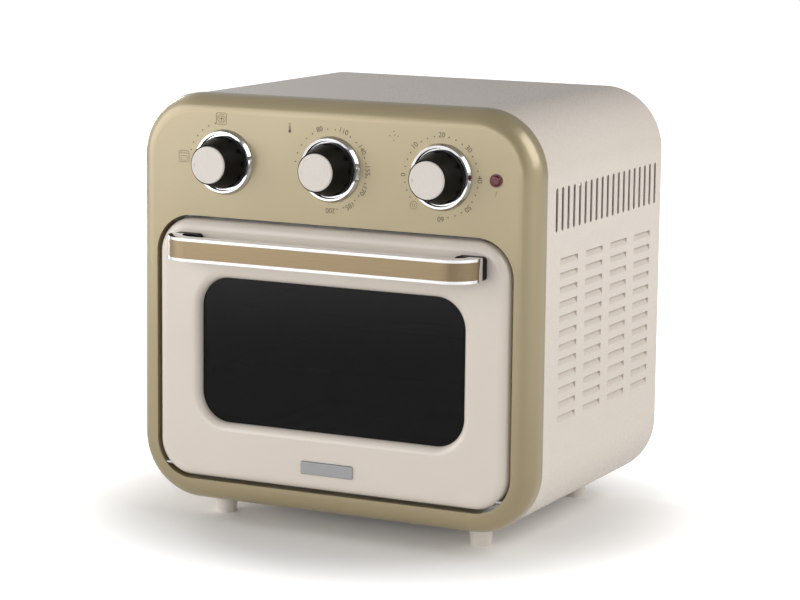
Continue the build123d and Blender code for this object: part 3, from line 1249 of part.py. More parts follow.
# Baskets: mesh trays with a thick rim that rides on the chamber's runners
basket_mid_y = FRONT_Y + BASKET_FRONT_DEPTH + BASKET_LENGTH / 2
for basket_name, rim_lift in zip(BASKET_NAMES, BASKET_RIM_LIFTS):
    rim_top = FOOT_HEIGHT + rim_lift
    basket_bottom = rim_top - BASKET_HEIGHT
    with BuildPart() as basket:
        with BuildSketch(level(basket_bottom)):
            with Locations((0, basket_mid_y)):
                RectangleRounded(BASKET_WIDTH, BASKET_LENGTH, BASKET_RADIUS)
        extrude(amount=BASKET_HEIGHT)
        with BuildSketch(level(rim_top - BASKET_RIM)):
            with Locations((0, basket_mid_y)):
                RectangleRounded(
                    BASKET_WIDTH + 2 * BASKET_RIM,
                    BASKET_LENGTH + 2 * BASKET_RIM,
                    BASKET_RADIUS + BASKET_RIM,
                )
        extrude(amount=BASKET_RIM)
        fillet(basket.faces().sort_by(Axis.Z)[-1].edges(), BASKET_RIM * RIM_ROUNDING)
        with BuildSketch(level(basket_bottom + BASKET_WALL)):
            with Locations((0, basket_mid_y)):
                RectangleRounded(
                    BASKET_WIDTH - 2 * BASKET_WALL,
                    BASKET_LENGTH - 2 * BASKET_WALL,
                    BASKET_RADIUS - BASKET_WALL,
                )
        extrude(amount=BASKET_HEIGHT, mode=Mode.SUBTRACT)
        with BuildSketch(level(basket_bottom)):
            with Locations((0, basket_mid_y)):
                with GridLocations(MESH_PITCH, MESH_PITCH, MESH_COLUMNS, MESH_ROWS):
                    Rectangle(MESH_HOLE, MESH_HOLE, rotation=45)
        extrude(amount=BASKET_WALL, mode=Mode.SUBTRACT)
        mesh_z = basket_bottom + BASKET_WALL + (BASKET_HEIGHT - BASKET_WALL - BASKET_RIM) / 2
        with BuildSketch(Plane.XZ.offset(-basket_mid_y - BASKET_LENGTH / 2)):
            with Locations((0, mesh_z)):
                with GridLocations(WALL_MESH_PITCH, 0, WALL_MESH_COLUMNS, 1):
                    Rectangle(WALL_MESH_HOLE, WALL_MESH_HOLE, rotation=45)
        extrude(amount=BASKET_LENGTH, mode=Mode.SUBTRACT)
        with BuildSketch(Plane.YZ.offset(-BASKET_WIDTH / 2)):
            with Locations((basket_mid_y, mesh_z)):
                with GridLocations(WALL_MESH_PITCH, 0, WALL_MESH_ROWS, 1):
                    Rectangle(WALL_MESH_HOLE, WALL_MESH_HOLE, rotation=45)
        extrude(amount=BASKET_WIDTH, mode=Mode.SUBTRACT)
    save(basket, f"basket_{basket_name}")

# Crumb tray: a shallow sheet tray that slides on the chamber floor
tray_mid_y = FRONT_Y + TRAY_FRONT_DEPTH + TRAY_LENGTH / 2
with BuildPart() as crumb_tray:
    with BuildSketch(level(CHAMBER_FLOOR_Z + TRAY_GAP)):
        with Locations((0, tray_mid_y)):
            RectangleRounded(TRAY_WIDTH, TRAY_LENGTH, TRAY_RADIUS)
    extrude(amount=TRAY_HEIGHT)
    with BuildSketch(level(CHAMBER_FLOOR_Z + TRAY_GAP + SHEET)):
        with Locations((0, tray_mid_y)):
            RectangleRounded(TRAY_WIDTH - 2 * SHEET, TRAY_LENGTH - 2 * SHEET, TRAY_RADIUS - SHEET)
    extrude(amount=TRAY_HEIGHT, mode=Mode.SUBTRACT)
save(crumb_tray, "crumb_tray")
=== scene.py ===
# %% [markdown]
# # A small air fryer oven with a drop-down door
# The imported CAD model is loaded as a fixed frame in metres. Its front looks along -Y, +X is to the
# right and the feet stand on Z = 0. Everything below dresses that frame: finishes for its pieces,
# printed dials, the rims of the baskets, light, floor and camera.

# %% Load the frame
import json
import math

import bpy
from mathutils import Matrix, Vector


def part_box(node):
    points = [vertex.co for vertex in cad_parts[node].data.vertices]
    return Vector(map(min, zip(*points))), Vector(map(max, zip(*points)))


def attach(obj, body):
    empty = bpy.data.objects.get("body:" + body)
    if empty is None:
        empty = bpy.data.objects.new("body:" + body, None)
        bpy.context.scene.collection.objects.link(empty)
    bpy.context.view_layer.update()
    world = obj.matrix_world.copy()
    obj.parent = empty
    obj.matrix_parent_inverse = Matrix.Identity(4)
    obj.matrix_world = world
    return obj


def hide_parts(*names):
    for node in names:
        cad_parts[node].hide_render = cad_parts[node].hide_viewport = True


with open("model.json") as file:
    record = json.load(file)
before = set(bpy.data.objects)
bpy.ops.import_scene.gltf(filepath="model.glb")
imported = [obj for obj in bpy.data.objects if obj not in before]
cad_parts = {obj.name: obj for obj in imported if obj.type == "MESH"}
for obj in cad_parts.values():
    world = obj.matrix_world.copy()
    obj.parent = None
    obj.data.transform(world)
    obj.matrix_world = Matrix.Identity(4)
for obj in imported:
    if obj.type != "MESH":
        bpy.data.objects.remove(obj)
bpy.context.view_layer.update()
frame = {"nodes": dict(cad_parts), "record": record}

MM = 0.001
nodes = frame["nodes"]

# %% [markdown]
# A few small helpers do the repeated work of a material. The first turns a hex colour, as a paint
# chart gives it, into the linear numbers that Cycles works in. The others add one node, set it up
# and link it, so that each finish reads as a short list of nodes.

# %% Colour and node helpers
def linear(code):
    parts = [int(code[i:i + 2], 16) / 255 for i in (1, 3, 5)]
    return [p / 12.92 if p <= 0.04045 else ((p + 0.055) / 1.055) ** 2.4 for p in parts] + [1.0]


def add_node(tree, kind, inputs=None, **settings):
    node = tree.nodes.new(kind)
    for name, value in settings.items():
        setattr(node, name, value)
    for name, value in (inputs or {}).items():
        if isinstance(value, bpy.types.NodeSocket):
            tree.links.new(value, node.inputs[name])
        else:
            node.inputs[name].default_value = value
    return node


def new_finish(name, **sockets):
    material = bpy.data.materials.new(name)
    material.use_nodes = True
    tree = material.node_tree
    shader = tree.nodes["Principled BSDF"]
    for socket, value in sockets.items():
        shader.inputs[socket.replace("_", " ")].default_value = value
    return material, tree, shader


def object_place(tree):
    return add_node(tree, "ShaderNodeTexCoord").outputs["Object"]


def noise(tree, place, size_mm, detail, **inputs):
    wanted = {"Vector": place, "Scale": 1.0 / (size_mm * MM), "Detail": detail, **inputs}
    return add_node(tree, "ShaderNodeTexNoise", wanted).outputs["Fac"]


def blend(tree, factor, low, high):
    mix = add_node(tree, "ShaderNodeMix", {0: factor, 6: linear(low), 7: linear(high)},
                   data_type="RGBA")
    return mix.outputs[2]


def ramp(tree, value, start, end, low, high, shape="LINEAR"):
    limits = {"Value": value, "From Min": start, "From Max": end, "To Min": low, "To Max": high}
    return add_node(tree, "ShaderNodeMapRange", limits, interpolation_type=shape).outputs["Result"]


def calculate(tree, operation, first, second=0.0):
    return add_node(tree, "ShaderNodeMath", {0: first, 1: second}, operation=operation).outputs[0]


# %% [markdown]
# Most finishes here are a coat or a skin with two scales to it: broad cloudiness, which keeps a
# large panel from looking like flat colour, and a fine grain, which breaks up the gloss. Both come
# from noise on Object coordinates, so they stay fixed to the metal when a door or knob turns.

# %% A grained finish
CLOUD_DETAIL = 3.0
GRAIN_DETAIL = 4.0
GRAIN_BUMP = 0.5
SCRATCH_BUMP = 0.4
SCRATCH_ROUGHNESS = 0.65
SCRATCH_LIFT_MM = 0.004


def cover(tree, shader, colour, relief, rough, strength, lift_mm):
    gloss = ramp(tree, relief, 0.0, 1.0, rough[0], rough[1])
    bump = add_node(tree, "ShaderNodeBump", {"Height": relief, "Strength": strength,
                                             "Distance": lift_mm * MM})
    tree.links.new(colour, shader.inputs["Base Color"])
    tree.links.new(gloss, shader.inputs["Roughness"])
    tree.links.new(bump.outputs["Normal"], shader.inputs["Normal"])


def grained(name, low, high, cloud_mm, grain_mm, lift_mm, rough, **sockets):
    material, tree, shader = new_finish(name, **sockets)
    place = object_place(tree)
    cloud = noise(tree, place, cloud_mm, CLOUD_DETAIL)
    grain = noise(tree, place, grain_mm, GRAIN_DETAIL)
    cover(tree, shader, blend(tree, cloud, low, high), grain, rough, GRAIN_BUMP, lift_mm)
    return material


# %% [markdown]
# Brushed metal has fine scratches that all run one way. A noise that is stretched along the
# brushing direction gives them: the Mapping node shrinks the coordinate on the axis along which the
# scratches run, and the noise reads as long there.

# %% A brushed finish
def brushed(name, low, high, scratch_mm, rough, stretch, **sockets):
    material, tree, shader = new_finish(name, **sockets)
    turned = add_node(tree, "ShaderNodeMapping", {"Vector": object_place(tree), "Scale": stretch})
    scratch = noise(tree, turned.outputs["Vector"], scratch_mm, GRAIN_DETAIL,
                    Roughness=SCRATCH_ROUGHNESS)
    cover(tree, shader, blend(tree, scratch, low, high), scratch, rough, SCRATCH_BUMP,
          SCRATCH_LIFT_MM)
    return material


# %% [markdown]
# The outside is mostly paint. The front frame has a champagne metallic lacquer: aluminium flake
# under a clear coat, so it is part metal. Door and wrap are powder coated cream and glossy, with
# the fine grain that sprayed and baked coats keep. The knob caps are ABS in much the same cream.

# %% Coats of the cabinet
champagne_lacquer = grained(
    "champagne metallic lacquer", "#a69775", "#b0a17f", cloud_mm=90, grain_mm=0.5,
    lift_mm=0.006, rough=(0.28, 0.36), Metallic=0.32, Coat_Weight=0.6, Coat_Roughness=0.10)
cream_coat = grained(
    "cream gloss powder coat", "#e4d9cd", "#eae0d5", cloud_mm=120, grain_mm=0.5,
    lift_mm=0.003, rough=(0.24, 0.30), Coat_Weight=0.35, Coat_Roughness=0.12)
cap_abs = grained(
    "cream gloss ABS", "#dfd8cf", "#e6e0d8", cloud_mm=30, grain_mm=0.8,
    lift_mm=0.004, rough=(0.24, 0.30))
plated_chrome = grained(
    "chrome plated ABS", "#dcdcde", "#ececee", cloud_mm=40, grain_mm=1.5,
    lift_mm=0.002, rough=(0.03, 0.07), Metallic=1.0)
print("outside coats", [m.name for m in (champagne_lacquer, cream_coat, cap_abs, plated_chrome)])

# %% [markdown]
# Dark mouldings: the knobs and handle blocks are glass filled nylon with a faint spark-eroded
# grain, and the seals are silicone, which is duller and greyer. The lens of the lamp is dark red.

# %% Mouldings and seals
black_nylon = grained(
    "black satin nylon", "#070706", "#0e0d0c", cloud_mm=25, grain_mm=0.6,
    lift_mm=0.01, rough=(0.40, 0.52), Specular_IOR_Level=0.14)
seal_silicone = grained(
    "grey silicone", "#2b2b2d", "#37373a", cloud_mm=12, grain_mm=1.2,
    lift_mm=0.02, rough=(0.5, 0.62))
lens_red = grained(
    "red polycarbonate lens", "#5e0c0e", "#7d1215", cloud_mm=3, grain_mm=0.7,
    lift_mm=0.01, rough=(0.12, 0.2), Transmission_Weight=0.25, IOR=1.58)
print("mouldings", black_nylon.name, seal_silicone.name, lens_red.name)

# %% [markdown]
# Metals inside and behind. Zinc plated steel shows crystals of zinc a few millimetres wide, the
# aluminised chamber has a rolled grain, the fan is plain rolled aluminium, the heater tube has
# oxidised to a dark grey-brown, and the motor's core is varnished lamination steel.

# %% Metals of the works
zinc_plate = grained(
    "zinc plated steel", "#9c9fa3", "#bfc2c5", cloud_mm=7, grain_mm=0.9,
    lift_mm=0.006, rough=(0.28, 0.42), Metallic=1.0)
zinc_screw = grained(
    "zinc plated screw", "#a9acaf", "#c9cbcd", cloud_mm=3, grain_mm=0.4,
    lift_mm=0.004, rough=(0.22, 0.34), Metallic=1.0)
aluminised = brushed(
    "aluminised chamber steel", "#83827e", "#a3a29d", scratch_mm=0.6,
    rough=(0.26, 0.42), stretch=(1.0, 0.04, 1.0), Metallic=1.0)
fan_sheet = brushed(
    "rolled aluminium", "#b4b6b9", "#d0d1d3", scratch_mm=0.5,
    rough=(0.22, 0.34), stretch=(0.08, 1.0, 1.0), Metallic=1.0)
heater_oxide = grained(
    "oxidised heater tube", "#3a342e", "#5a5148", cloud_mm=9, grain_mm=0.6,
    lift_mm=0.01, rough=(0.4, 0.55), Metallic=0.8)
drawn_copper = grained(
    "drawn copper tube", "#a8633f", "#c07a52", cloud_mm=12, grain_mm=0.5,
    lift_mm=0.004, rough=(0.25, 0.36), Metallic=1.0)
core_varnish = brushed(
    "varnished core steel", "#3f4146", "#5c5f66", scratch_mm=0.5,
    rough=(0.3, 0.45), stretch=(1.0, 1.0, 0.02), Metallic=0.9)
nonstick_coat = grained(
    "black non-stick coat", "#151516", "#222224", cloud_mm=14, grain_mm=0.5,
    lift_mm=0.02, rough=(0.34, 0.5), Coat_Weight=0.2, Coat_Roughness=0.2)
basket_wire = grained(
    "coated basket wire", "#8d8e90", "#a7a9ab", cloud_mm=14, grain_mm=0.5,
    lift_mm=0.01, rough=(0.3, 0.42), Metallic=0.6)
print("metals of the works made")

# %% [markdown]
# Two strips of trim are brushed lengthwise: the champagne inlay of the handle and the small plaque
# under the window.

# %% Trim metals
inlay_brushed = brushed(
    "brushed champagne strip", "#86755a", "#9c8a6d", scratch_mm=0.35,
    rough=(0.24, 0.34), stretch=(0.015, 0.3, 1.0), Metallic=0.8)
plaque_metal = brushed(
    "satin plaque metal", "#a9aaac", "#cdced0", scratch_mm=0.5,
    rough=(0.16, 0.3), stretch=(0.03, 1.0, 1.0), Metallic=1.0)
print("trim metals", inlay_brushed.name, plaque_metal.name)

# %% [markdown]
# The window is tinted, tempered glass. Its colour sits in the transmission, so the oven behind it
# shows only darkly, and the surface is polished smooth. Tint and polish drift slightly over each
# 60 mm, as in glass that has been through the tempering furnace.

# %% Tinted window glass
GLASS_DRIFT_MM = 60
GLASS_DETAIL = 1.0
window_tint, glass_tree, glass_shader = new_finish(
    "smoked tempered glass", Transmission_Weight=1.0, IOR=1.32)
drift = noise(glass_tree, object_place(glass_tree), GLASS_DRIFT_MM, GLASS_DETAIL)
smoke = blend(glass_tree, drift, "#2c2d37", "#3a3b44")
polish = ramp(glass_tree, drift, 0.0, 1.0, 0.01, 0.03)
glass_tree.links.new(smoke, glass_shader.inputs["Base Color"])
glass_tree.links.new(polish, glass_shader.inputs["Roughness"])
print("glass made")

# %% [markdown]
# Now each CAD piece gets its finish. The record names a material slot for every piece, which is a
# safe start, and the few pieces that differ from their slot are named one by one.

# %% Finishes for the CAD pieces
slot_finish = {
    "champagne_paint": champagne_lacquer, "cream_enamel": cream_coat, "cream_plastic": cap_abs,
    "chrome": plated_chrome, "black_plastic": black_nylon,
    "silicone": seal_silicone, "zinc_steel": zinc_plate, "chamber_steel": aluminised,
    "nonstick": nonstick_coat, "fan_aluminium": fan_sheet, "heater_alloy": heater_oxide,
    "copper_tube": drawn_copper, "core_steel": core_varnish, "tinted_glass": window_tint,
    "red_lens": lens_red}
special_finish = {"handle_inlay": inlay_brushed, "badge_plaque": plaque_metal,
                  "case_screws": zinc_screw, "door_screws": zinc_screw,
                  "back_panel": cream_coat}
for part in frame["record"]["subparts"]:
    node = part["node"]
    finish = special_finish.get(node, slot_finish[part["material_slot"]])
    mesh = nodes[node].data
    mesh.materials.clear()
    mesh.materials.append(finish)

# %% [markdown]
# New pieces are made with Blender's own operators. The CAD pieces are still selected after the
# import, so everything is deselected first. A finished piece has its place in its mesh and its
# object at the origin, as the CAD pieces have, and it rides on the body that carries it.

# %% Helpers for new pieces
def deselect():
    if bpy.context.object and bpy.context.object.mode != "OBJECT":
        bpy.ops.object.mode_set(mode="OBJECT")
    bpy.ops.object.select_all(action="DESELECT")


def only(piece):
    deselect()
    piece.select_set(True)
    bpy.context.view_layer.objects.active = piece


def place_in_mesh():
    bpy.ops.object.transform_apply(location=True, rotation=True, scale=True)


def settle(piece, finish, body):
    only(piece)
    place_in_mesh()
    piece.data.materials.clear()
    piece.data.materials.append(finish)
    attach(piece, body)


def join(pieces, name):
    deselect()
    for piece in pieces:
        piece.select_set(True)
    bpy.context.view_layer.objects.active = pieces[0]
    bpy.ops.object.join()
    joined = bpy.context.object
    joined.name = name
    return joined


def path_curve(name, points, radius, resolution, closed):
    curve = bpy.data.curves.new(name, "CURVE")
    curve.dimensions = "3D"
    curve.bevel_depth = radius * MM
    curve.bevel_resolution = resolution
    spline = curve.splines.new("POLY")
    spline.points.add(len(points) - 1)
    for point, (x, y, z) in zip(spline.points, points):
        point.co = (x, y, z, 1)
    spline.use_cyclic_u = closed
    strand = bpy.data.objects.new(name, curve)
    bpy.context.scene.collection.objects.link(strand)
    return strand


# %% [markdown]
# Points on an arc are given by their angle, clockwise from the top, as on a dial. A box with
# rounded corners is four such arcs.

# %% Arcs and rounded boxes
FULL_TURN = 360.0
CORNER_STEPS = 4


def circle_points(x, z, radius, steps=20, start=0.0, sweep=FULL_TURN):
    count = steps if sweep == FULL_TURN else steps + 1
    turns = [math.radians(start + sweep * i / steps) for i in range(count)]
    return [(x + radius * math.sin(t), z + radius * math.cos(t)) for t in turns]


def rounded_box(x, z, wide, tall, corner):
    points = []
    for sx, sz, start in ((1, 1, 0), (1, -1, 90), (-1, -1, 180), (-1, 1, 270)):
        points += circle_points(x + sx * (wide / 2 - corner), z + sz * (tall / 2 - corner),
                                corner, CORNER_STEPS, start, 90.0)
    return points


# %% [markdown]
# The dials are pad printed on the lacquer: ink about a hundredth of a millimetre thick. Here it is
# up to 0.06 mm, just enough to keep it off the paint. Numbers stand upright at the top of a circle
# and turn with it, so each one is placed by its angle, clockwise from the top, on a ring round the
# knob. A text object is set, made into a mesh and turned into the frame's front.

# %% Printing ink and its helpers
INK_Y = -113.06 * MM
INK_DEPTH = 0.03 * MM
FACING = Matrix.Rotation(math.radians(90), 4, "X")
TEXT_PER_HEIGHT = 1.35
DOT_SIDES = 14
KNOB_SPACING = 93
DIAL_HEIGHT = 286.5
NUMBER_RING = 31.4
NUMBER_HEIGHT = 4.2
DOT_RING = 30.6
DOT_RADIUS = 0.6
HAIR_LINE = 0.3
FINE_LINE = 0.35
BOLD_LINE = 0.4
ink = grained("dark brown pad print ink", "#554d3c", "#675e4b", cloud_mm=4, grain_mm=0.5,
              lift_mm=0.002, rough=(0.45, 0.6))


def print_text(words, x, z, turn, height):
    deselect()
    bpy.ops.object.text_add()
    text = bpy.context.object
    text.data.body = words
    text.data.align_x = "CENTER"
    text.data.align_y = "CENTER"
    text.data.size = height * TEXT_PER_HEIGHT * MM
    text.data.extrude = INK_DEPTH
    text.data.resolution_u = 4
    text.matrix_world = (Matrix.Translation((x * MM, INK_Y, z * MM)) @ FACING
                         @ Matrix.Rotation(-math.radians(turn), 4, "Z"))
    only(text)
    bpy.ops.object.convert(target="MESH")
    place_in_mesh()
    return bpy.context.object


def print_dot(x, z, radius=DOT_RADIUS):
    deselect()
    bpy.ops.mesh.primitive_circle_add(vertices=DOT_SIDES, radius=radius * MM, fill_type="NGON",
                                      location=(x * MM, INK_Y, z * MM),
                                      rotation=(math.radians(90), 0, 0))
    dot = bpy.context.object
    bpy.ops.object.mode_set(mode="EDIT")
    bpy.ops.mesh.extrude_region_move(TRANSFORM_OT_translate={"value": (0, -INK_DEPTH, 0)})
    bpy.ops.object.mode_set(mode="OBJECT")
    place_in_mesh()
    return dot


def print_line(points, width, closed=False):
    flat = [(x * MM, 0, z * MM) for x, z in points]
    line = path_curve("ink line", flat, width / 2, 1, closed)
    line.location.y = INK_Y
    line.scale.y = 2 * INK_DEPTH / (width * MM)
    only(line)
    bpy.ops.object.convert(target="MESH")
    place_in_mesh()
    return bpy.context.object


def on_ring(centre_x, angle, radius, centre_z=DIAL_HEIGHT):
    return circle_points(centre_x, centre_z, radius, 1, angle, 0.0)[0]


def ring_text(value, centre_x, angle):
    x, z = on_ring(centre_x, angle, NUMBER_RING)
    return print_text(str(value), x, z, angle, NUMBER_HEIGHT)


def ring_dots(centre_x, angles):
    return [print_dot(*on_ring(centre_x, a, DOT_RING)) for a in angles]


def settle_print(pieces, name):
    printed = join(pieces, name)
    settle(printed, ink, "housing")
    print(name, len(printed.data.polygons), "faces")


# %% [markdown]
# Temperature goes clockwise from 80 degrees, just left of the top, to 200 at the bottom, with two
# dots between the numbers and a run of dots before the first one.

# %% Temperature dial
temperature_marks = {80: -18, 110: 20, 140: 58, 155: 88, 170: 117, 185: 148, 200: 180}
temperature_dots = [-82, -69, -56, -43, -31, -5, 7, 33, 45, 70, 78, 98, 107, 128, 137, 159, 169]
temperature_numbers = [ring_text(v, 0, a) for v, a in temperature_marks.items()]
settle_print(temperature_numbers + ring_dots(0, temperature_dots), "temperature_scale_print")

# %% [markdown]
# Time runs from 0 at nine o'clock to 60 at the bottom, a number at every eighth of a turn and
# three dots between. Below the zero a dotted stretch leads to the mark for a held-on position.

# %% Timer dial
TIMER_DOT_STEPS = (11.5, 22.5, 33.5)
HELD_ON_DOTS = [-101, -112, -123]
timer_marks = {0: -90, 10: -45, 20: 0, 30: 45, 40: 90, 50: 135, 60: 180}
timer_dots = [a + s for a in timer_marks.values() if a < 180 for s in TIMER_DOT_STEPS]
timer_numbers = [ring_text(v, KNOB_SPACING, a) for v, a in timer_marks.items()]
settle_print(timer_numbers + ring_dots(KNOB_SPACING, timer_dots + HELD_ON_DOTS),
             "timer_scale_print")

# %% [markdown]
# The function dial has two signs, an oven and a fan, each in a square with rounded corners, and a
# run of dots between them.

# %% Function dial
SIGN_BOX = 9
SIGN_CORNER = 1.6
OVEN_X, OVEN_Z = -129, 289
FAN_X, FAN_Z = -95.5, 320
BLADE_OUT = 1.5
BLADE_RADIUS = 1.1


def sign_box(x, z):
    return print_line(rounded_box(x, z, SIGN_BOX, SIGN_BOX, SIGN_CORNER), FINE_LINE, True)


oven_sign = [sign_box(OVEN_X, OVEN_Z),
             print_line([(OVEN_X - 4.2, OVEN_Z + 2.4), (OVEN_X + 4.2, OVEN_Z + 2.4)], FINE_LINE),
             print_line(rounded_box(OVEN_X, OVEN_Z - 1.4, 5.6, 3.6, 0.8), HAIR_LINE, True),
             print_dot(OVEN_X - 2, OVEN_Z + 3.4, 0.35), print_dot(OVEN_X + 2, OVEN_Z + 3.4, 0.35)]
fan_sign = [sign_box(FAN_X, FAN_Z),
            print_line(circle_points(FAN_X, FAN_Z, 3.5), HAIR_LINE, True),
            print_dot(FAN_X, FAN_Z, 0.5)]
for blade_x, blade_z in circle_points(FAN_X, FAN_Z, BLADE_OUT, 4, 45.0):
    fan_sign.append(print_line(circle_points(blade_x, blade_z, BLADE_RADIUS, 10), HAIR_LINE, True))
function_dots = ring_dots(-KNOB_SPACING, [-75, -63, -51, -39, -27, -15])
settle_print(oven_sign + fan_sign + function_dots, "function_scale_print")

# %% [markdown]
# The other signs are ink lines too: a thermometer, a timer, a held-on ring and a mains flash. Each
# is a few strokes, as a sign maker would cut it.

# %% Signs on the panel
BULB_X, BULB_Z = -35.4, 313.6
CLOCK_X, CLOCK_Z = 53.3, 315.0
HELD_RING = 32
HELD_ANGLE = -135

stem = [(BULB_X - 0.7, BULB_Z + 1.0), (BULB_X - 0.7, BULB_Z + 5.8), (BULB_X, BULB_Z + 6.4),
        (BULB_X + 0.7, BULB_Z + 5.8), (BULB_X + 0.7, BULB_Z + 1.0)]
thermometer = [print_line(stem, HAIR_LINE), print_dot(BULB_X, BULB_Z, 1.25),
               print_line([(BULB_X, BULB_Z + 0.4), (BULB_X, BULB_Z + 3.9)], BOLD_LINE)]
clock = [print_dot(x, z, 0.5) for x, z in circle_points(CLOCK_X, CLOCK_Z, 3.4, 4)]
clock.append(print_line([(CLOCK_X, CLOCK_Z), (CLOCK_X + 1.6, CLOCK_Z + 1.4)], 0.45))
held_x, held_z = on_ring(KNOB_SPACING, HELD_ANGLE, HELD_RING)
held = [print_line(circle_points(held_x, held_z, 3.0), FINE_LINE, True)]
held += [print_line([(held_x + side, held_z - 1.2), (held_x + side, held_z + 1.2)], FINE_LINE)
         for side in (-0.9, 0.9)]
flash = [print_line([(138.9, 278.6), (137.4, 276.6), (138.8, 276.7), (137.2, 274.6)], BOLD_LINE)]
settle_print(thermometer + clock + held + flash, "panel_signs_print")

# %% [markdown]
# Each basket is drawn by its rim alone: a round wire with rounded corners, and beside it one thin
# strand that keeps square corners. The strand starts as a flat sheet with a single face, whose
# edge has a point at every pitch. The points are drawn in to the size of the basket, and the
# Wireframe modifier turns the edge into a strand.

# %% Basket rims
STRAND_PITCH = 6.0
STRAND = 0.9
RIM_RADIUS = 1.7
RIM_CORNER = 15
RIM_RESOLUTION = 3
RIM_SMOOTH_ANGLE = 50


def one_face_sheet(wide, long, pitch):
    deselect()
    bpy.ops.mesh.primitive_grid_add(x_subdivisions=round(wide / pitch),
                                    y_subdivisions=round(long / pitch), size=MM)
    sheet = bpy.context.object
    sheet.scale = (wide, long, 1)
    place_in_mesh()
    bpy.ops.object.mode_set(mode="EDIT")
    bpy.ops.mesh.select_all(action="SELECT")
    bpy.ops.mesh.dissolve_faces()
    bpy.ops.object.mode_set(mode="OBJECT")
    return sheet


def held_within(value, limit):
    return max(-limit, min(limit, value))


def edge_strand(low, high, wide, long, tall):
    centre = (low + high) / 2
    sheet = one_face_sheet(wide + 2 * tall, long + 2 * tall, STRAND_PITCH)
    height = high.z - (RIM_RADIUS - STRAND / 2) * MM
    for vertex in sheet.data.vertices:
        x = held_within(vertex.co.x, wide * MM / 2)
        y = held_within(vertex.co.y, long * MM / 2)
        vertex.co = (centre.x + x, centre.y + y, height)
    wires = sheet.modifiers.new("strands", "WIREFRAME")
    wires.thickness = STRAND * MM
    wires.use_boundary = True
    wires.use_even_offset = False
    only(sheet)
    bpy.ops.object.modifier_apply(modifier="strands")
    return sheet


def rim_wire(low, high, wide, long):
    centre = (low + high) / 2
    outline = rounded_box(0, 0, wide + RIM_RADIUS, long + RIM_RADIUS, RIM_CORNER)
    points = [(centre.x + x * MM, centre.y + y * MM, high.z - RIM_RADIUS * MM)
              for x, y in outline]
    rim = path_curve("rim", points, RIM_RADIUS, RIM_RESOLUTION, True)
    only(rim)
    bpy.ops.object.convert(target="MESH")
    return bpy.context.object


def basket_rim(node, body):
    low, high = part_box(node)
    wide = (high.x - low.x) / MM - 2 * RIM_RADIUS
    long = (high.y - low.y) / MM - 2 * RIM_RADIUS
    tall = (high.z - low.z) / MM - RIM_RADIUS
    rim = join([edge_strand(low, high, wide, long, tall), rim_wire(low, high, wide, long)],
               node + "_wires")
    settle(rim, basket_wire, body)
    only(rim)
    bpy.ops.object.shade_smooth_by_angle(angle=math.radians(RIM_SMOOTH_ANGLE))
    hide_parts(node)
    print(rim.name, len(rim.data.polygons), "faces")


basket_rim("basket_lower", "lower_basket")
basket_rim("basket_upper", "upper_basket")

# %% [markdown]
# CAD meshes come in with flat facets. Smoothing by angle keeps real edges sharp and lets the round
# corners of the body, door and knobs shine without facets. Normals are not vertex places, so the
# frame stays as it was.

# %% Smooth shading
SMOOTH_ANGLE = 32
for piece in nodes.values():
    only(piece)
    bpy.ops.object.shade_smooth_by_angle(angle=math.radians(SMOOTH_ANGLE))
print("smoothed", len(nodes), "pieces")

# %% [markdown]
# The floor is one large pale sheet. In photographs of this kind it blends into a white ground, so
# the camera sees it glow except close to the oven, where its own shading carries the soft shadow.
# Seen in a mirror or through glass, only the ground well away from the oven glows, and most in
# front of it, which keeps the window and the right side from mirroring too much white.

# %% Floor
FLOOR_SIZE = 12
deselect()
bpy.ops.mesh.primitive_plane_add(size=FLOOR_SIZE, location=(0, 0, 0))
floor = bpy.context.object
floor.name = "studio_floor"
floor_finish, paper, floor_shader = new_finish(
    "white studio paper", Roughness=0.9, Base_Color=linear("#f2f1ef"), Specular_IOR_Level=0.0,
    Emission_Color=(1, 1, 1, 1))
seen = add_node(paper, "ShaderNodeLightPath").outputs
floor_place = object_place(paper)
distance = add_node(paper, "ShaderNodeVectorMath", {0: floor_place},
                    operation="LENGTH").outputs["Value"]
along = add_node(paper, "ShaderNodeSeparateXYZ", {0: floor_place}).outputs["Y"]
near_ground = ramp(paper, distance, 0.15, 0.35, 0.04, 1.0, "SMOOTHSTEP")
far_ground = ramp(paper, distance, 0.8, 1.6, 0.0, 0.6, "SMOOTHSTEP")
front_ground = ramp(paper, along, -0.4, 0.3, 1.0, 0.35, "SMOOTHSTEP")
lit_ground = calculate(paper, "MULTIPLY", far_ground, front_ground)
mirrored = calculate(paper, "MAXIMUM", seen["Is Glossy Ray"], seen["Is Transmission Ray"])
camera_lift = calculate(paper, "MULTIPLY", seen["Is Camera Ray"], near_ground)
mirror_lift = calculate(paper, "MULTIPLY", mirrored, lit_ground)
lift = calculate(paper, "MAXIMUM", camera_lift, mirror_lift)
paper.links.new(lift, floor_shader.inputs["Emission Strength"])
floor.data.materials.append(floor_finish)

# %% [markdown]
# The world is a white studio. Its soft light fades overhead, where such a room has no lamps. In
# mirrors its walls are bright on the left and right and dim in front and behind, which gives
# chrome its dark lines. Camera rays see plain white.

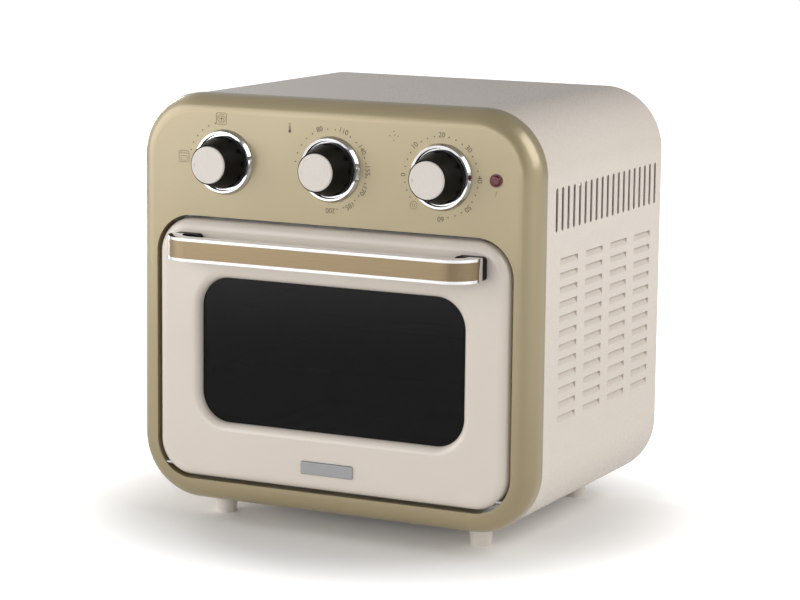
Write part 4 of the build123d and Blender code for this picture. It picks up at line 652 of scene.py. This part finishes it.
# %% Studio world
SOFT_LIGHT = 0.66
world = bpy.data.worlds.new("white studio")
bpy.context.scene.world = world
world.use_nodes = True
sky = world.node_tree
background = sky.nodes["Background"]
toward = add_node(sky, "ShaderNodeTexCoord").outputs["Generated"]
parts = add_node(sky, "ShaderNodeSeparateXYZ", {0: toward}).outputs
overhead = ramp(sky, parts["Z"], 0.1, 0.8, 1.0, 0.18)
sideways = calculate(sky, "ABSOLUTE", parts["X"])
lit_side = ramp(sky, sideways, 0.36, 0.80, 0.22, 1.0, "SMOOTHSTEP")
soft_light = calculate(sky, "MULTIPLY", overhead, SOFT_LIGHT)
rays = add_node(sky, "ShaderNodeLightPath").outputs
by_mirror = add_node(sky, "ShaderNodeMix", {0: rays["Is Glossy Ray"], 2: soft_light, 3: lit_side})
by_camera = add_node(sky, "ShaderNodeMix", {0: rays["Is Camera Ray"], 2: by_mirror.outputs[0],
                                            3: 1.0})
sky.links.new(by_camera.outputs[0], background.inputs["Strength"])
background.inputs["Color"].default_value = (1, 1, 1, 1)

# %% [markdown]
# Four soft boxes do the rest: a large one on the left front, a strip beside the left edge, a low
# fill from the front, and one on the right that keeps the side panel bright. Each is placed by its
# azimuth, which is 0 in front and grows to the right, its elevation and its distance, and it looks
# at the middle of the oven. None hangs straight overhead.

# %% Soft boxes
LAMP_TARGET = Vector((0, 0, 0.17))


def soft_box(name, azimuth, elevation, distance, size, watts):
    deselect()
    a, e = math.radians(azimuth), math.radians(elevation)
    back = Vector((math.sin(a) * math.cos(e), -math.cos(a) * math.cos(e), math.sin(e)))
    bpy.ops.object.light_add(type="AREA", location=LAMP_TARGET + back * distance)
    lamp = bpy.context.object
    lamp.name = name
    lamp.data.shape = "RECTANGLE"
    lamp.data.size, lamp.data.size_y = size
    lamp.data.energy = watts
    lamp.rotation_mode = "QUATERNION"
    lamp.rotation_quaternion = back.to_track_quat("Z", "Y")


soft_box("left front soft box", azimuth=-50, elevation=10, distance=2.2, size=(1.8, 1.8), watts=21)
soft_box("left edge strip", azimuth=-118, elevation=6, distance=1.6, size=(0.4, 1.6), watts=14)
soft_box("front fill", azimuth=-12, elevation=8, distance=2.6, size=(1.6, 1.0), watts=9)
soft_box("right soft box", azimuth=98, elevation=34, distance=2.4, size=(2.4, 1.8), watts=32)

# %% [markdown]
# The camera stands to the right of the oven and above it, and looks slightly down, with a long
# lens from a little over two metres, as a product photographer would.

# %% Camera
CAMERA_PLACE = (0.9877, -1.9845, 0.5347)
CAMERA_AZIMUTH = 26.37
CAMERA_DOWN = 9.34
CAMERA_ROLL = 0.63
SENSOR_WIDTH = 36
FOCAL_LENGTH = 126.3
CLIP_END = 50
azimuth, down, roll = (math.radians(v) for v in (CAMERA_AZIMUTH, CAMERA_DOWN, CAMERA_ROLL))
ahead = Vector((-math.sin(azimuth) * math.cos(down), math.cos(azimuth) * math.cos(down),
                -math.sin(down)))
right = Vector((math.cos(azimuth), math.sin(azimuth), 0))
up = right.cross(ahead)
rolled_right = math.cos(roll) * right + math.sin(roll) * up
rolled_up = -math.sin(roll) * right + math.cos(roll) * up
camera_data = bpy.data.cameras.new("photo camera")
camera = bpy.data.objects.new("photo camera", camera_data)
bpy.context.scene.collection.objects.link(camera)
axes = Matrix((rolled_right, rolled_up, -ahead)).transposed().to_4x4()
camera.matrix_world = Matrix.Translation(CAMERA_PLACE) @ axes
camera_data.sensor_fit = "HORIZONTAL"
camera_data.sensor_width = SENSOR_WIDTH
camera_data.lens = FOCAL_LENGTH
camera_data.clip_end = CLIP_END
bpy.context.scene.camera = camera
bpy.context.scene.view_settings.view_transform = "Standard"
